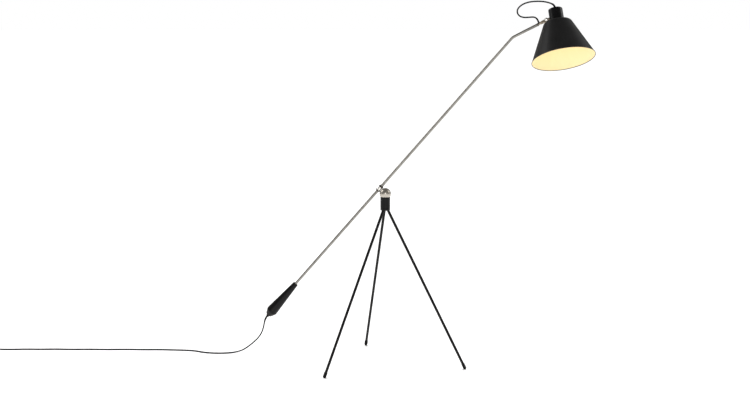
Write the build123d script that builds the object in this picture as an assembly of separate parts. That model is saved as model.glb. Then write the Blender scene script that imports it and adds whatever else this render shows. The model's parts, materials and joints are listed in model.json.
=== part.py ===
from build123d import *
import math
import os

# Adjustable arm floor lamp: a tripod carries a steel ball, a magnet clamp sits on the ball and
# holds a long counterweighted arm tube, and a knuckle at the arm's upper end carries the shade.
# Millimetres, +Z up, origin on the floor under the tripod's axis.

# ---------------------------------------------------------------- driving dimensions
# tripod
ball_height = 644.0        # centre of the ball above the floor
ball_radius = 21.0
head_radius = 18.0
head_top_drop = 12.0       # rim of the head below the ball's centre
head_height = 50.0
head_chamfer = 2.5
leg_azimuths = {"front_left": 224.0, "right": 344.0, "rear": 104.0}
leg_radius = 5.0
leg_wall = 1.0
leg_top_circle = 11.0      # radius at which the legs meet the head's underside
foot_circle = 306.0        # radius at which the feet stand
leg_socket = 5.0
leg_stud_radius = 3.0
leg_stud_reach = 12.0
leg_insert_depth = 14.0
leg_end_gap = 1.0          # tube's end to the bottom of the ferrule's bore
foot_radius = 6.5
foot_length = 16.0
foot_centre_height = 5.5   # centre of a foot's round end above the floor
foot_chamfer = 0.8

# ball stud and its bush in the head
stud_radius = 4.0
stud_in_ball = 12.0
stud_above_base = 17.0     # stud's lower end above the head's underside
stud_groove_depth = 1.0
stud_groove_width = 4.0
stud_groove_drop = 32.0    # middle of the groove below the ball's centre
stud_end_gap = 3.0         # stud's lower end to the bottom of its bore
bush_radius = 6.0
bush_below_ball = 1.0
set_screw_radius = 2.5
set_screw_point_radius = 1.3
set_screw_azimuth = 44.0
set_screw_sink = 0.5       # screw's outer end below the head's surface
screw_slot_width = 0.8
screw_slot_depth = 1.2

# arm
arm_azimuth = 18.0         # the arm's upper end points this far clockwise of +X
arm_elevation = 48.4
arm_radius = 5.0
arm_wall = 1.0
arm_lower = 507.0          # clamp centre to the top of the handle
arm_upper = 743.0          # clamp centre to the bend
arm_tip = 101.0            # bend to the tube's upper end
bend_angle = 21.8
bend_radius = 45.0

# magnet clamp
pole_radius = 9.0
pole_thickness = 3.0
pole_gap = 13.8
pole_chamfer = 0.4
magnet_radius = 7.5
sleeve_wall = 0.75
sleeve_lip = 0.7
sleeve_lip_length = 1.0
stop_ring_radius = 6.6
stop_ring_length = 1.3

# handle and counterweight
handle_length = 170.0
handle_top_radius = 10.0
handle_wide_radius = 21.0
handle_end_radius = 12.5
handle_wide_share = 0.85   # where along its length the handle is widest
handle_round = 9.0         # rounding of its widest edge
handle_wall = 3.5
handle_top_round = 1.2
handle_end_chamfer = 1.5
handle_end_flat = 10.0     # radius of the flat at its lower end
handle_neck = 12.0         # solid stretch at the handle's top
handle_grip_on_tube = 45.0
cap_spigot = 4.0
cap_corner_reach = 5.0
cap_end_thickness = 17.0
core_length = 78.0         # iron core, just heavy enough to balance the shade
grip_screw_radius = 2.0
grip_screw_sink = 0.2
cord_bush_radius = 4.6
cord_bush_lip = 6.0
cord_bush_flange = 2.0
cord_bush_round = 1.2

# knuckle at the arm's upper end
collar_radius = 6.0
collar_length = 1.8
end_bush_length = 16.0
end_bush_seat = 0.5        # how far the bush's barrel runs into its collar
stem_radius = 3.45
stem_bore_radius = 2.75
stem_reach = 14.0
stem_clip_length = 1.1
stem_beyond_clip = 1.0
lead_hole_gap = 0.7        # inner lead's end to the side hole
lead_hole_reach = 5.6      # centre of the lead's side hole beyond the tube's end
grommet_radius = 3.3
grommet_height = 5.2
swivel_angle = -19.0
pivot_reach = 35.0         # tube's end to the tilt pivot
fork_start = 9.6
fork_bar_start = 16.0
fork_slot_start = 26.0
fork_cheek = 3.0
fork_socket_radius = 5.0
fork_socket_overlap = 3.0
fork_bar_half_height = 4.0
knuckle_radius = 7.0
pivot_radius = 3.0
pivot_head_radius = 5.0
pivot_head_height = 2.6
pivot_head_round = 1.6
pivot_nut_radius = 5.2
pivot_nut_height = 4.0
pivot_screw_spare = 1.0
washer_thickness = 1.0

# shade
shade_tilt = 11.7
neck_offset = 36.0         # tilt pivot to the shade's axis
neck_rise = 31.0           # top of the neck above the pivot
neck_height = 46.0
neck_radius = 25.0
neck_wall = 1.0
neck_round = 3.0
neck_flange_radius = 20.5
shade_length = 187.0       # top of the neck to the mouth
shade_mouth_radius = 111.5
shade_corner_radius = 47.5
shade_corner_drop = 2.5
shade_round = 14.0
shade_wall = 0.8
rim_bead_radius = 1.1
eye_thickness = 5.0
eye_bar_half_height = 5.0
eye_bar_spare = 0.8        # eye's bar beyond its round end
boss_radius = 6.5
lug_stud_radius = 3.0
lug_nut_radius = 5.5
lug_nut_thickness = 3.0
lug_stud_spare = 1.0

# lamp holder and bulb
nipple_radius = 5.0
nipple_bore_radius = 3.3
nipple_above = 4.0
nipple_below_nut = 4.0
nipple_nut_radius = 8.0
nipple_nut_thickness = 3.0
holder_radius = 19.5
holder_collar_radius = 9.0
holder_collar_height = 6.0
holder_length = 44.0
holder_cavity_radius = 14.6
holder_cavity_depth = 31.0
screw_shell_wall = 0.6
screw_shell_inset = 3.0
contact_strip = (18.0, 6.0, 1.0)
contact_tongue_width = 6.0
shade_ring_radius = 23.5
shade_ring_thickness = 4.0
bulb_cap_radius = 13.2
bulb_cap_length = 25.0
bulb_cap_wall = 0.6
bulb_cap_in_holder = 26.0  # top of the cap above the holder's mouth
bulb_radius = 30.0
bulb_length = 80.0         # glass below the cap
bulb_neck_radius = 12.8
bulb_wall = 0.8
bulb_tip_radius = 4.0
bulb_tip_height = 2.2
gland_radius = 7.0
gland_height = 5.5
gland_round = 2.0

# cords
cord_radius = 2.6
coil_middle_radius = 28.0
coil_half_width = 8.2
coil_height = 10.7
coil_centre = (-1659.0, 200.0)
switch_length = 60.0
switch_width = 26.0
switch_half_height = 8.0
switch_centre = (-1580.0, 216.0)
switch_wall = 2.0
switch_round = 6.0
switch_groove_height = 6.5
switch_clamp_length = 9.0  # solid stretch at each end of the case
switch_screw_radius = 1.5
switch_screw_inset = 5.0
switch_screw_offset = 7.5
rocker_play = 0.5
rocker_axle_radius = 1.0
rocker_axle_spare = 2.0    # axle beyond each side of the rocker
rocker_length = 20.0
rocker_width = 11.0
rocker_pivot_drop = 3.0
plug_length = 36.0
plug_width = 26.0
plug_thickness = 14.0
plug_waist_width = 11.0
plug_shoulder = 16.2       # lead's end of the plug to its full width
plug_round = 2.0
plug_chamfer = 1.0
plug_pin_root_radius = 1.5
plug_pin_root = 8.0        # how far the pins' roots run into the body
plug_pin_radius = 2.0
plug_pin_length = 19.0
plug_pin_spacing = 19.0
plug_start = (-1692.4, 152.0)
tie_width = 6.0
tie_thickness = 1.2

# clearances
running_gap = 0.05         # radial, shaft in bush
joint_gap = 0.3            # between pieces of different bodies
pole_to_ball_gap = 0.25
core_fit_gap = 0.15
shade_clamp_gap = 0.1      # clamping ring and holder below what they bear on

# Free cords: points along the lead's middle, chosen by hand.
# The mains lead hangs from the handle's end, touches down and runs over the floor to the switch.
mains_route = [
    (-452.4, 147.0, 152.1),
    (-459.3, 149.2, 144.0),
    (-465.0, 150.5, 127.0),
    (-469.0, 152.0, 104.0),
    (-477.5, 155.0, 81.0),
    (-492.5, 160.0, 59.5),
    (-513.0, 167.0, 39.5),
    (-536.0, 172.5, 20.5),
    (-558.0, 174.5, 7.5),
    (-584.0, 168.5, 2.7),
    (-606.0, 158.0, 2.7),
    (-640.0, 153.0, 2.7),
    (-676.0, 157.0, 2.7),
    (-706.0, 168.0, 2.7),
    (-733.0, 188.0, 2.7),
    (-768.0, 201.0, 2.7),
    (-820.0, 206.0, 2.7),
    (-880.0, 213.0, 2.7),
    (-945.0, 211.0, 2.7),
    (-1015.0, 217.0, 2.7),
    (-1085.0, 213.0, 2.7),
    (-1155.0, 218.0, 2.7),
    (-1225.0, 215.0, 2.7),
    (-1290.0, 221.0, 2.7),
    (-1350.0, 217.0, 2.7),
    (-1405.0, 220.0, 2.7),
    (-1460.0, 215.0, 2.7),
    (-1502.0, 216.5, 2.7),
    (-1529.0, 216.3, 4.0),
    (-1540.0, 216.0, 6.5),
    (-1550.0, 216.0, 6.5),
]
# From the switch to the coil's outer turn.
coil_lead_route = [
    (-1610.0, 216.0, 6.5),
    (-1619.0, 216.0, 6.5),
    (-1629.0, 222.5, 4.6),
    (-1637.5, 230.0, 3.2),
]
# From the coil's outer turn to the plug.
plug_lead_route = [
    (-1688.5, 178.0, 8.2),
    (-1691.7, 169.0, 7.6),
    (-1692.4, 160.5, 7.0),
    (-1692.4, 152.0, 7.0),
]
# From the knuckle's side hole over in a loop to the gland on the neck.
shade_lead_start_rise = 1.0
shade_lead_first_run = 12.0
shade_lead_route = [
    (529.5, -168.5, 1287.0),
    (518.5, -168.0, 1291.0),
    (502.0, -168.0, 1289.4),
    (483.0, -168.0, 1288.8),
    (468.0, -168.0, 1294.5),
    (460.5, -168.0, 1307.5),
    (464.5, -168.0, 1322.0),
    (479.0, -168.0, 1334.5),
    (499.0, -168.0, 1342.0),
    (523.0, -168.0, 1345.3),
    (549.0, -169.5, 1345.0),
    (573.0, -173.0, 1340.5),
]
shade_lead_end_run = 10.0

# ---------------------------------------------------------------- derived places
head_top = ball_height - head_top_drop
head_bottom = head_top - head_height
stud_top_drop = ball_radius - stud_in_ball
stud_end_drop = head_top_drop + head_height - stud_above_base
bush_top_drop = ball_radius + bush_below_ball
bush_bottom_drop = stud_end_drop + stud_end_gap
arm_offset = math.sqrt((ball_radius + pole_to_ball_gap) ** 2 - (pole_gap / 2) ** 2) + pole_radius
pole_outer = pole_gap / 2 + pole_thickness
sleeve_outer_radius = arm_radius + running_gap + sleeve_wall
sleeve_end = pole_outer + sleeve_lip_length
handle_wide = handle_length * handle_wide_share
cap_floor = handle_length - cap_end_thickness
arm_bore_radius = arm_radius - arm_wall
end_bush_bore_radius = stem_radius + running_gap
slot_half_width = eye_thickness / 2 + joint_gap
fork_half_width = slot_half_width + fork_cheek
holder_top = neck_rise - neck_wall - nipple_nut_thickness - shade_clamp_gap
holder_body_top = holder_top - holder_collar_height
holder_bottom = holder_body_top - holder_length
cavity_top = holder_bottom + holder_cavity_depth
cap_top = holder_bottom + bulb_cap_in_holder
cap_bottom = cap_top - bulb_cap_length
stem_end = -end_bush_length - joint_gap - stem_clip_length - stem_beyond_clip
lug_reach = knuckle_radius + eye_bar_spare
rocker_axle_height = 2 * switch_half_height - rocker_pivot_drop
neck_bottom = neck_rise - neck_height
shade_mouth = neck_rise - shade_length
leg_run = math.hypot(foot_circle - leg_top_circle, head_bottom - foot_centre_height)
leg_splay = math.degrees(
    math.atan2(foot_circle - leg_top_circle, head_bottom - foot_centre_height)
)

# ---------------------------------------------------------------- frames
along_x = Rot(0, 90, 0)
tilt_frame = Pos(0, 0, ball_height) * Rot(0, 0, -arm_azimuth) * Rot(0, -arm_elevation, 0)
tube_frame = tilt_frame * Pos(0, 0, arm_offset)
tip_frame = tube_frame * Pos(arm_upper, 0, 0) * Rot(0, bend_angle, 0) * Pos(arm_tip, 0, 0)
knuckle_frame = tip_frame * Rot(swivel_angle, 0, 0)
pivot_frame = knuckle_frame * Pos(pivot_reach, 0, 0) * Rot(0, shade_tilt, 0)
shade_frame = pivot_frame * Pos(neck_offset, 0, 0)
handle_frame = tube_frame * Pos(-arm_lower, 0, 0) * Rot(0, -90, 0)
ball_frame = Pos(0, 0, ball_height)
# the set screw comes in level with the stud's groove
screw_frame = ball_frame * Pos(0, 0, -stud_groove_drop) * Rot(0, 0, set_screw_azimuth) * along_x
grip_screw_frame = handle_frame * Pos(0, 0, handle_neck / 2) * Rot(90, 0, 0)
# about the tilt axis, Z towards the side that the nut is on
pivot_screw_frame = knuckle_frame * Pos(pivot_reach, 0, 0) * Rot(-90, 0, 0)
switch_frame = Pos(*switch_centre, 0)
plug_frame = Pos(*plug_start, plug_thickness / 2) * Rot(0, 0, -90)
switch_screw_places = [
    Pos(side * (switch_length / 2 - switch_screw_inset), switch_screw_offset, 0)
    for side in (-1, 1)
]


def leg_frame(azimuth):
    """Origin where the leg meets the head, Z down the leg."""
    return Rot(0, 0, azimuth) * Pos(leg_top_circle, 0, head_bottom) * Rot(0, 180 - leg_splay, 0)


# ---------------------------------------------------------------- shapes
def rod(radius, low, high, bore=0.0):
    """Cylinder about Z from low to high, bored through if bore is given."""
    body = Pos(0, 0, (low + high) / 2) * Cylinder(radius, high - low)
    if bore:
        body -= Pos(0, 0, (low + high) / 2) * Cylinder(bore, high - low + 2)
    return body


def turned(*outline):
    """Solid of revolution about Z of a closed (radius, height) outline."""
    return revolve(make_face(Plane.XZ * Polyline(*outline, close=True)), Axis.Z)


def block(x, y, z):
    """Box from (low, high) pairs."""
    size = [high - low for low, high in (x, y, z)]
    middle = [(high + low) / 2 for low, high in (x, y, z)]
    return Pos(*middle) * Box(*size)


def hexagon(radius, low, high, bore):
    """Hexagon nut about Z, radius to its corners."""
    nut = Pos(0, 0, low) * extrude(RegularPolygon(radius, 6), high - low)
    return nut - rod(bore, low - 1, high + 1)


def screw_slot(top):
    """Driver slot across the end of a screw that ends at top."""
    return Pos(0, 0, top) * Box(screw_slot_width, 2 * head_radius, 2 * screw_slot_depth)


def corner_radii(points):
    """Each corner's arc is as large as its shorter run lets it be."""
    radii = []
    for before, corner, after in zip(points, points[1:], points[2:]):
        run_in = Vector(*corner) - Vector(*before)
        run_out = Vector(*after) - Vector(*corner)
        half_turn = math.radians(run_in.get_angle(run_out)) / 2
        radii.append(0.45 * min(run_in.length, run_out.length) / math.tan(half_turn))
    return radii


def cord_tube(name, points):
    """Round cord along straight runs joined by tangent arcs."""
    radii = corner_radii(points)
    path = FilletPolyline(*points, radius=radii)
    section = Plane(origin=path @ 0, z_dir=path % 0) * Circle(cord_radius)
    cord = sweep(section, path)
    print(name, "length", round(path.length, 1), "tightest arc", round(min(radii), 1), "mm")
    print("  arcs:", " ".join(f"{radius:.0f}" for radius in radii))
    print("  volume / (section x length)", round(
        cord.volume / (math.pi * cord_radius**2 * path.length), 4))
    return cord


# ---------------------------------------------------------------- tripod
def make_head():
    head = rod(head_radius, head_bottom, head_top)
    head = chamfer(head.edges().filter_by(GeomType.CIRCLE).sort_by(Axis.Z)[0], head_chamfer)
    head -= ball_frame * Sphere(ball_radius + joint_gap)
    head -= ball_frame * rod(bush_radius, -bush_bottom_drop, -head_top_drop)
    head -= screw_frame * rod(set_screw_radius, 0, head_radius + 1)
    for azimuth in leg_azimuths.values():
        head -= leg_frame(azimuth) * rod(leg_radius, -leg_socket, foot_length)
        head -= leg_frame(azimuth) * rod(leg_stud_radius, -leg_stud_reach, 0)
    return head


def make_leg(azimuth):
    return leg_frame(azimuth) * rod(
        leg_radius, -leg_socket, leg_run - leg_end_gap, bore=leg_radius - leg_wall
    )


def make_leg_insert(azimuth):
    """Threaded stud that is pressed into the leg's top and screws into the head."""
    plug = rod(leg_radius - leg_wall, -leg_socket, leg_insert_depth)
    return leg_frame(azimuth) * (plug + rod(leg_stud_radius, -leg_stud_reach, -leg_socket))


def make_foot(azimuth):
    """Rubber ferrule, worn flat where it stands."""
    cap = rod(foot_radius, leg_run - foot_length, leg_run) + Pos(0, 0, leg_run) * Sphere(foot_radius)
    cap = chamfer(cap.edges().filter_by(GeomType.CIRCLE).sort_by(Axis.Z)[0], foot_chamfer)
    cap -= rod(leg_radius, leg_run - foot_length - 1, leg_run)
    floor = Pos(0, 0, -2 * foot_radius) * Box(4 * foot_circle, 4 * foot_circle, 4 * foot_radius)
    return leg_frame(azimuth) * cap - floor


def make_pan_bush():
    bush = ball_frame * rod(
        bush_radius, -bush_bottom_drop, -bush_top_drop, bore=stud_radius + running_gap
    )
    return bush - screw_frame * rod(set_screw_radius, 0, head_radius)


def make_pan_set_screw():
    """Its point runs in the stud's groove, so the ball turns and can't lift out."""
    end = head_radius - set_screw_sink
    shank = rod(set_screw_radius, stud_radius + joint_gap, end)
    point = rod(
        set_screw_point_radius, stud_radius - stud_groove_depth + joint_gap, stud_radius + joint_gap
    )
    return screw_frame * (shank + point - screw_slot(end))


# ---------------------------------------------------------------- ball
def make_ball():
    return ball_frame * (
        Sphere(ball_radius) - rod(stud_radius, -ball_radius - 1, -stud_top_drop)
    )


def make_ball_stud():
    stud = rod(stud_radius, -stud_end_drop, -stud_top_drop)
    groove = rod(
        stud_radius + 1,
        -stud_groove_drop - stud_groove_width / 2,
        -stud_groove_drop + stud_groove_width / 2,
        bore=stud_radius - stud_groove_depth,
    )
    return ball_frame * (stud - groove)


# ---------------------------------------------------------------- magnet clamp
def make_pole_disc(side):
    low, high = sorted((side * pole_gap / 2, side * pole_outer))
    disc = rod(pole_radius, low, high, bore=sleeve_outer_radius)
    edges = disc.edges().filter_by(GeomType.CIRCLE).group_by(SortBy.RADIUS)[-1]
    disc = chamfer(edges.sort_by(Axis.Z)[0 if side < 0 else -1], pole_chamfer)
    return tube_frame * along_x * disc


def make_magnet():
    return tube_frame * along_x * rod(
        magnet_radius, -pole_gap / 2, pole_gap / 2, bore=sleeve_outer_radius
    )


def make_sleeve():
    """Brass liner, swaged over the discs at both ends."""
    bore = arm_radius + running_gap
    sleeve = rod(sleeve_outer_radius, -sleeve_end, sleeve_end, bore=bore)
    for side in (-1, 1):
        low, high = sorted((side * pole_outer, side * sleeve_end))
        sleeve += rod(sleeve_outer_radius + sleeve_lip, low, high, bore=bore)
    return tube_frame * along_x * sleeve


# ---------------------------------------------------------------- arm
def arm_path(start):
    tip_angle = math.radians(bend_angle)
    return FilletPolyline(
        (start, 0, 0),
        (arm_upper, 0, 0),
        (arm_upper + arm_tip * math.cos(tip_angle), 0, -arm_tip * math.sin(tip_angle)),
        radius=bend_radius,
    )


def make_arm_tube():
    start = -arm_lower - handle_grip_on_tube
    path = arm_path(start)
    section = Plane(origin=(start, 0, 0), z_dir=(1, 0, 0))
    return tube_frame * (
        sweep(section * Circle(arm_radius), path) - sweep(section * Circle(arm_bore_radius), path)
    )


def make_stop_rings():
    """Spring rings on the tube, one each side of the clamp."""
    rings = []
    for side in (-1, 1):
        low, high = sorted((side * (sleeve_end + joint_gap),
                            side * (sleeve_end + joint_gap + stop_ring_length)))
        rings.append(tube_frame * along_x * rod(stop_ring_radius, low, high, bore=arm_radius))
    return Compound(rings)


def handle_radius(height):
    """The handle's outer radius between its top and its widest edge."""
    return handle_top_radius + (handle_wide_radius - handle_top_radius) * height / handle_wide


def handle_cone(inset, low, high):
    """The handle's form between two heights, drawn in by inset."""
    return turned(
        (0, low),
        (handle_radius(low) - inset, low),
        (handle_radius(high) - inset, high),
        (0, high),
    )


def make_handle():
    shell = handle_cone(0, 0, handle_wide)
    shell = fillet(shell.edges().filter_by(GeomType.CIRCLE).sort_by(Axis.Z)[0], handle_top_round)
    shell -= handle_cone(handle_wall, handle_neck, handle_wide)
    shell -= rod(arm_radius, -1, handle_neck + 1)
    return handle_frame * shell - grip_screw_frame * rod(grip_screw_radius, 0, handle_wide_radius)


def make_grip_screw():
    """Grub screw that clamps the handle to the tube, on its hidden side."""
    screw = rod(grip_screw_radius, arm_radius, handle_top_radius - grip_screw_sink)
    return grip_screw_frame * (screw - screw_slot(handle_top_radius - grip_screw_sink))


def make_handle_cap():
    """The handle's lower end, rounded at its widest edge, with a spigot into the shell."""
    corner = FilletPolyline(
        (handle_wide_radius, handle_wide),
        (handle_radius(handle_wide + cap_corner_reach), handle_wide + cap_corner_reach),
        (handle_end_radius, handle_length - handle_end_chamfer),
        (handle_end_flat, handle_length),
        radius=[handle_round, handle_end_chamfer],
    )
    edge = Plane.XZ * corner
    rest = Plane.XZ * Polyline(
        (handle_end_flat, handle_length),
        (0, handle_length),
        (0, handle_wide),
        (handle_wide_radius, handle_wide),
    )
    cap = revolve(make_face(Wire([*edge.edges(), *rest.edges()])), Axis.Z)
    cap += handle_cone(handle_wall, handle_wide - cap_spigot, handle_wide)
    cap -= rod(handle_wide_radius - 2 * handle_wall, 0, cap_floor)
    return handle_frame * (cap - rod(cord_bush_radius, 0, handle_length + 1))


def make_counterweight():
    """Iron core of the handle, bored for the tube and the lead."""
    high = handle_neck + core_length
    core = handle_cone(handle_wall + core_fit_gap, handle_neck, high)
    core -= rod(arm_radius, handle_neck - 1, handle_grip_on_tube)
    core -= rod(arm_bore_radius, handle_grip_on_tube - 1, high + 1)
    return handle_frame * core


def make_cord_bush():
    """Rubber bush in the handle's end that guides the lead out."""
    high = handle_length + cord_bush_lip
    bush = rod(cord_bush_radius, cap_floor, high)
    bush = fillet(bush.edges().filter_by(GeomType.CIRCLE).sort_by(Axis.Z)[-1], cord_bush_round)
    bush += rod(cord_bush_radius + cord_bush_flange, cap_floor - cord_bush_flange, cap_floor)
    return handle_frame * (bush - rod(cord_radius, 0, high + 1))


def make_inner_lead():
    """The lead inside the arm, from the handle's end to the knuckle's stem."""
    start = -arm_lower - handle_length - cord_bush_lip + joint_gap
    path = arm_path(start)
    section = Plane(origin=(start, 0, 0), z_dir=(1, 0, 0)) * Circle(cord_radius)
    lead = tube_frame * sweep(section, path)
    beyond = lead_hole_reach - cord_radius - lead_hole_gap
    return lead + tip_frame * along_x * rod(cord_radius, -1, beyond)


def make_end_bush():
    """Flanged bush in the tube's upper end, where the stem turns."""
    bush = rod(arm_bore_radius, -end_bush_length, end_bush_seat)
    bush += rod(collar_radius, 0, collar_length)
    return tip_frame * along_x * (
        bush - rod(end_bush_bore_radius, -end_bush_length - 1, collar_length + 1)
    )


# ---------------------------------------------------------------- knuckle
def lead_hole(radius):
    return Pos(lead_hole_reach, 0, 0) * rod(radius, 0, 2 * grommet_height)


def make_stem():
    """Hollow stem that turns in the end bush and lets the lead out at its side."""
    stem = along_x * rod(stem_radius, stem_end, stem_reach, bore=stem_bore_radius)
    return knuckle_frame * (stem - lead_hole(cord_radius))


def make_stem_clip():
    high = -end_bush_length - joint_gap
    return knuckle_frame * along_x * rod(
        arm_bore_radius - 2 * running_gap, high - stem_clip_length, high, bore=stem_radius
    )


def make_grommet():
    """Rubber grommet that sits on the stem around the lead's hole."""
    grommet = Pos(lead_hole_reach, 0, 0) * rod(grommet_radius, 0, grommet_height)
    grommet -= along_x * rod(stem_radius, 0, 3 * lead_hole_reach)
    return knuckle_frame * (grommet - lead_hole(cord_radius))


def cheek_outline(radius, half_height, start, reach):
    """Paddle shape in the XZ plane: a bar that ends in a round eye."""
    bar = Plane.XZ * (Pos((start + reach) / 2, 0) * Rectangle(reach - start, 2 * half_height))
    eye = Plane.XZ * (Pos(reach, 0) * Circle(radius))
    return bar + eye


def make_fork():
    """Socket on the stem that opens into two cheeks."""
    fork = along_x * rod(fork_socket_radius, fork_start, fork_bar_start + fork_socket_overlap)
    outline = cheek_outline(knuckle_radius, fork_bar_half_height, fork_bar_start, pivot_reach)
    fork += extrude(outline, fork_half_width, both=True)
    fork -= along_x * rod(stem_radius, fork_start - 1, stem_reach)
    fork -= block(
        (fork_slot_start, pivot_reach + 2 * knuckle_radius),
        (-slot_half_width, slot_half_width),
        (-2 * knuckle_radius, 2 * knuckle_radius),
    )
    fork -= Pos(pivot_reach, 0, 0) * Rot(90, 0, 0) * Cylinder(pivot_radius, 4 * fork_half_width)
    return knuckle_frame * fork


def make_pivot_screw():
    end = fork_half_width + washer_thickness + pivot_nut_height + pivot_screw_spare
    screw = rod(pivot_radius, -fork_half_width, end)
    head = rod(pivot_head_radius, -fork_half_width - pivot_head_height, -fork_half_width)
    head = fillet(head.edges().filter_by(GeomType.CIRCLE).sort_by(Axis.Z)[0], pivot_head_round)
    return pivot_screw_frame * (screw + head)


def make_pivot_washer():
    return pivot_screw_frame * rod(
        pivot_nut_radius, fork_half_width, fork_half_width + washer_thickness, bore=pivot_radius
    )


def make_pivot_nut():
    low = fork_half_width + washer_thickness
    return pivot_screw_frame * hexagon(pivot_nut_radius, low, low + pivot_nut_height, pivot_radius)


# ---------------------------------------------------------------- shade
def make_eye():
    """Lug that turns in the fork and is screwed to the neck."""
    eye = rod(knuckle_radius, -eye_thickness / 2, eye_thickness / 2)
    eye = Rot(90, 0, 0) * eye
    eye += block(
        (0, lug_reach + eye_bar_spare),
        (-eye_thickness / 2, eye_thickness / 2),
        (-eye_bar_half_height, eye_bar_half_height),
    )
    eye += along_x * rod(boss_radius, lug_reach, neck_offset)
    eye -= Pos(neck_offset, 0, 0) * rod(neck_radius, -neck_height, neck_height)
    stud_end = neck_offset - neck_radius + neck_wall + lug_nut_thickness + lug_stud_spare
    eye += along_x * rod(lug_stud_radius, lug_reach, stud_end)
    eye -= Rot(90, 0, 0) * Cylinder(pivot_radius + running_gap, 2 * eye_thickness)
    return pivot_frame * eye


def make_lug_nut():
    inside = neck_radius - neck_wall
    seat = neck_offset - math.sqrt(inside**2 - lug_nut_radius**2)
    nut = hexagon(lug_nut_radius, seat, seat + lug_nut_thickness, lug_stud_radius)
    return pivot_frame * along_x * nut


def make_neck():
    """Spun cap, closed at the top, with an inner flange that sits on the shade."""
    neck = rod(neck_radius, neck_bottom, neck_rise)
    neck = fillet(neck.edges().filter_by(GeomType.CIRCLE).sort_by(Axis.Z)[-1], neck_round)
    inside = rod(neck_radius - neck_wall, neck_bottom + neck_wall, neck_rise - neck_wall)
    inside = fillet(
        inside.edges().filter_by(GeomType.CIRCLE).sort_by(Axis.Z)[-1], neck_round - neck_wall
    )
    neck -= inside
    neck -= rod(neck_flange_radius, neck_bottom - 1, neck_bottom + 2 * neck_wall)
    neck -= rod(nipple_radius, 0, neck_rise + 1)
    neck -= along_x * rod(lug_stud_radius, -2 * neck_radius, -neck_radius / 2)
    return shade_frame * neck


def shade_solid(inset, drop):
    """Filled outer form of the shade, drawn in by inset and lowered by drop."""
    edge = Plane.XZ * FilletPolyline(
        (0.001, neck_bottom - drop),
        (shade_corner_radius - inset, neck_bottom - shade_corner_drop - drop),
        (shade_mouth_radius - inset, shade_mouth),
        radius=shade_round - drop,
    )
    rest = Plane.XZ * Polyline(
        (shade_mouth_radius - inset, shade_mouth),
        (0.001, shade_mouth),
        (0.001, neck_bottom - drop),
    )
    return revolve(make_face(Wire([*edge.edges(), *rest.edges()])), Axis.Z)


def make_shade():
    """Spun cone with a rounded shoulder and a rolled rim."""
    shade = shade_solid(0.0, 0.0) - shade_solid(shade_wall * 1.1, shade_wall)
    shade -= rod(neck_flange_radius, neck_bottom - 6, neck_bottom + 1)
    bead = Pos(0, 0, shade_mouth) * Torus(shade_mouth_radius - rim_bead_radius / 2, rim_bead_radius)
    return shade_frame * (shade + bead)


def shade_top_at(radius):
    """Height of the shade's sloping top at a radius from its axis."""
    return neck_bottom - shade_corner_drop * radius / shade_corner_radius


def make_shade_ring():
    """Threaded ring on the lamp holder that clamps the shade to the neck's flange."""
    high = shade_top_at(shade_ring_radius) - shade_wall - shade_clamp_gap
    return shade_frame * rod(
        shade_ring_radius, high - shade_ring_thickness, high, bore=holder_radius
    )


def make_nipple():
    low = neck_rise - neck_wall - nipple_nut_thickness - nipple_below_nut
    return shade_frame * rod(
        nipple_radius, low, neck_rise + nipple_above, bore=nipple_bore_radius
    )


def make_nipple_nut():
    high = neck_rise - neck_wall
    return shade_frame * hexagon(
        nipple_nut_radius, high - nipple_nut_thickness, high, nipple_radius
    )


def make_gland():
    """Cord gland on the neck's top, screwed onto the nipple."""
    gland = rod(gland_radius, neck_rise, neck_rise + gland_height)
    gland = fillet(gland.edges().filter_by(GeomType.CIRCLE).sort_by(Axis.Z)[-1], gland_round)
    gland -= rod(nipple_radius, neck_rise - 1, neck_rise + nipple_above)
    return shade_frame * (gland - rod(cord_radius, neck_rise, neck_rise + gland_height + 1))


def make_holder():
    holder = rod(holder_radius, holder_bottom, holder_body_top)
    holder += rod(holder_collar_radius, holder_body_top, holder_top)
    holder -= rod(holder_cavity_radius, holder_bottom - 1, cavity_top)
    return shade_frame * (holder - rod(nipple_radius, cavity_top, holder_top + 1))


def make_screw_shell():
    """Brass thread of the lamp holder."""
    return shade_frame * rod(
        holder_cavity_radius, holder_bottom + screw_shell_inset, cap_top,
        bore=holder_cavity_radius - screw_shell_wall,
    )


def make_centre_contact():
    """Sprung tongue under the bulb's tip, on the bottom of the holder's cavity."""
    length, width, thickness = contact_strip
    strip = Pos(0, 0, cavity_top - thickness / 2) * Box(length, width, thickness)
    tongue = block(
        (-contact_tongue_width / 2, contact_tongue_width / 2),
        (-width / 2, width / 2),
        (cap_top + bulb_tip_height, cavity_top - thickness),
    )
    return shade_frame * (strip + tongue)


def make_bulb_cap():
    """Brass screw cap, a thin cup with its bottom at the contact."""
    cap = rod(bulb_cap_radius, cap_bottom, cap_top)
    return shade_frame * (cap - rod(bulb_cap_radius - bulb_cap_wall, cap_bottom - 1,
                                    cap_top - bulb_cap_wall))


def make_bulb_tip():
    return shade_frame * rod(bulb_tip_radius, cap_top, cap_top + bulb_tip_height)


def bulb_form(inset):
    """Pear shape drawn in by inset: a round end, and a neck that narrows to the cap."""
    centre = cap_bottom - bulb_length + bulb_radius
    radius = bulb_radius - inset
    neck = (bulb_neck_radius - inset, cap_bottom)
    shoulder = (0.8 * radius, centre + 0.6 * radius)
    bottom = (0, centre - radius)
    widest = (radius, centre)
    outline = Plane.XZ * Wire([
        *Line((0, cap_bottom), neck).edges(),
        *Spline(neck, shoulder, tangents=[(0, -1), (0.6, -0.8)]).edges(),
        *ThreePointArc(shoulder, widest, bottom).edges(),
        *Line(bottom, (0, cap_bottom)).edges(),
    ])
    return revolve(make_face(outline), Axis.Z)


def make_bulb():
    return shade_frame * (bulb_form(0.0) - bulb_form(bulb_wall))


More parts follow.
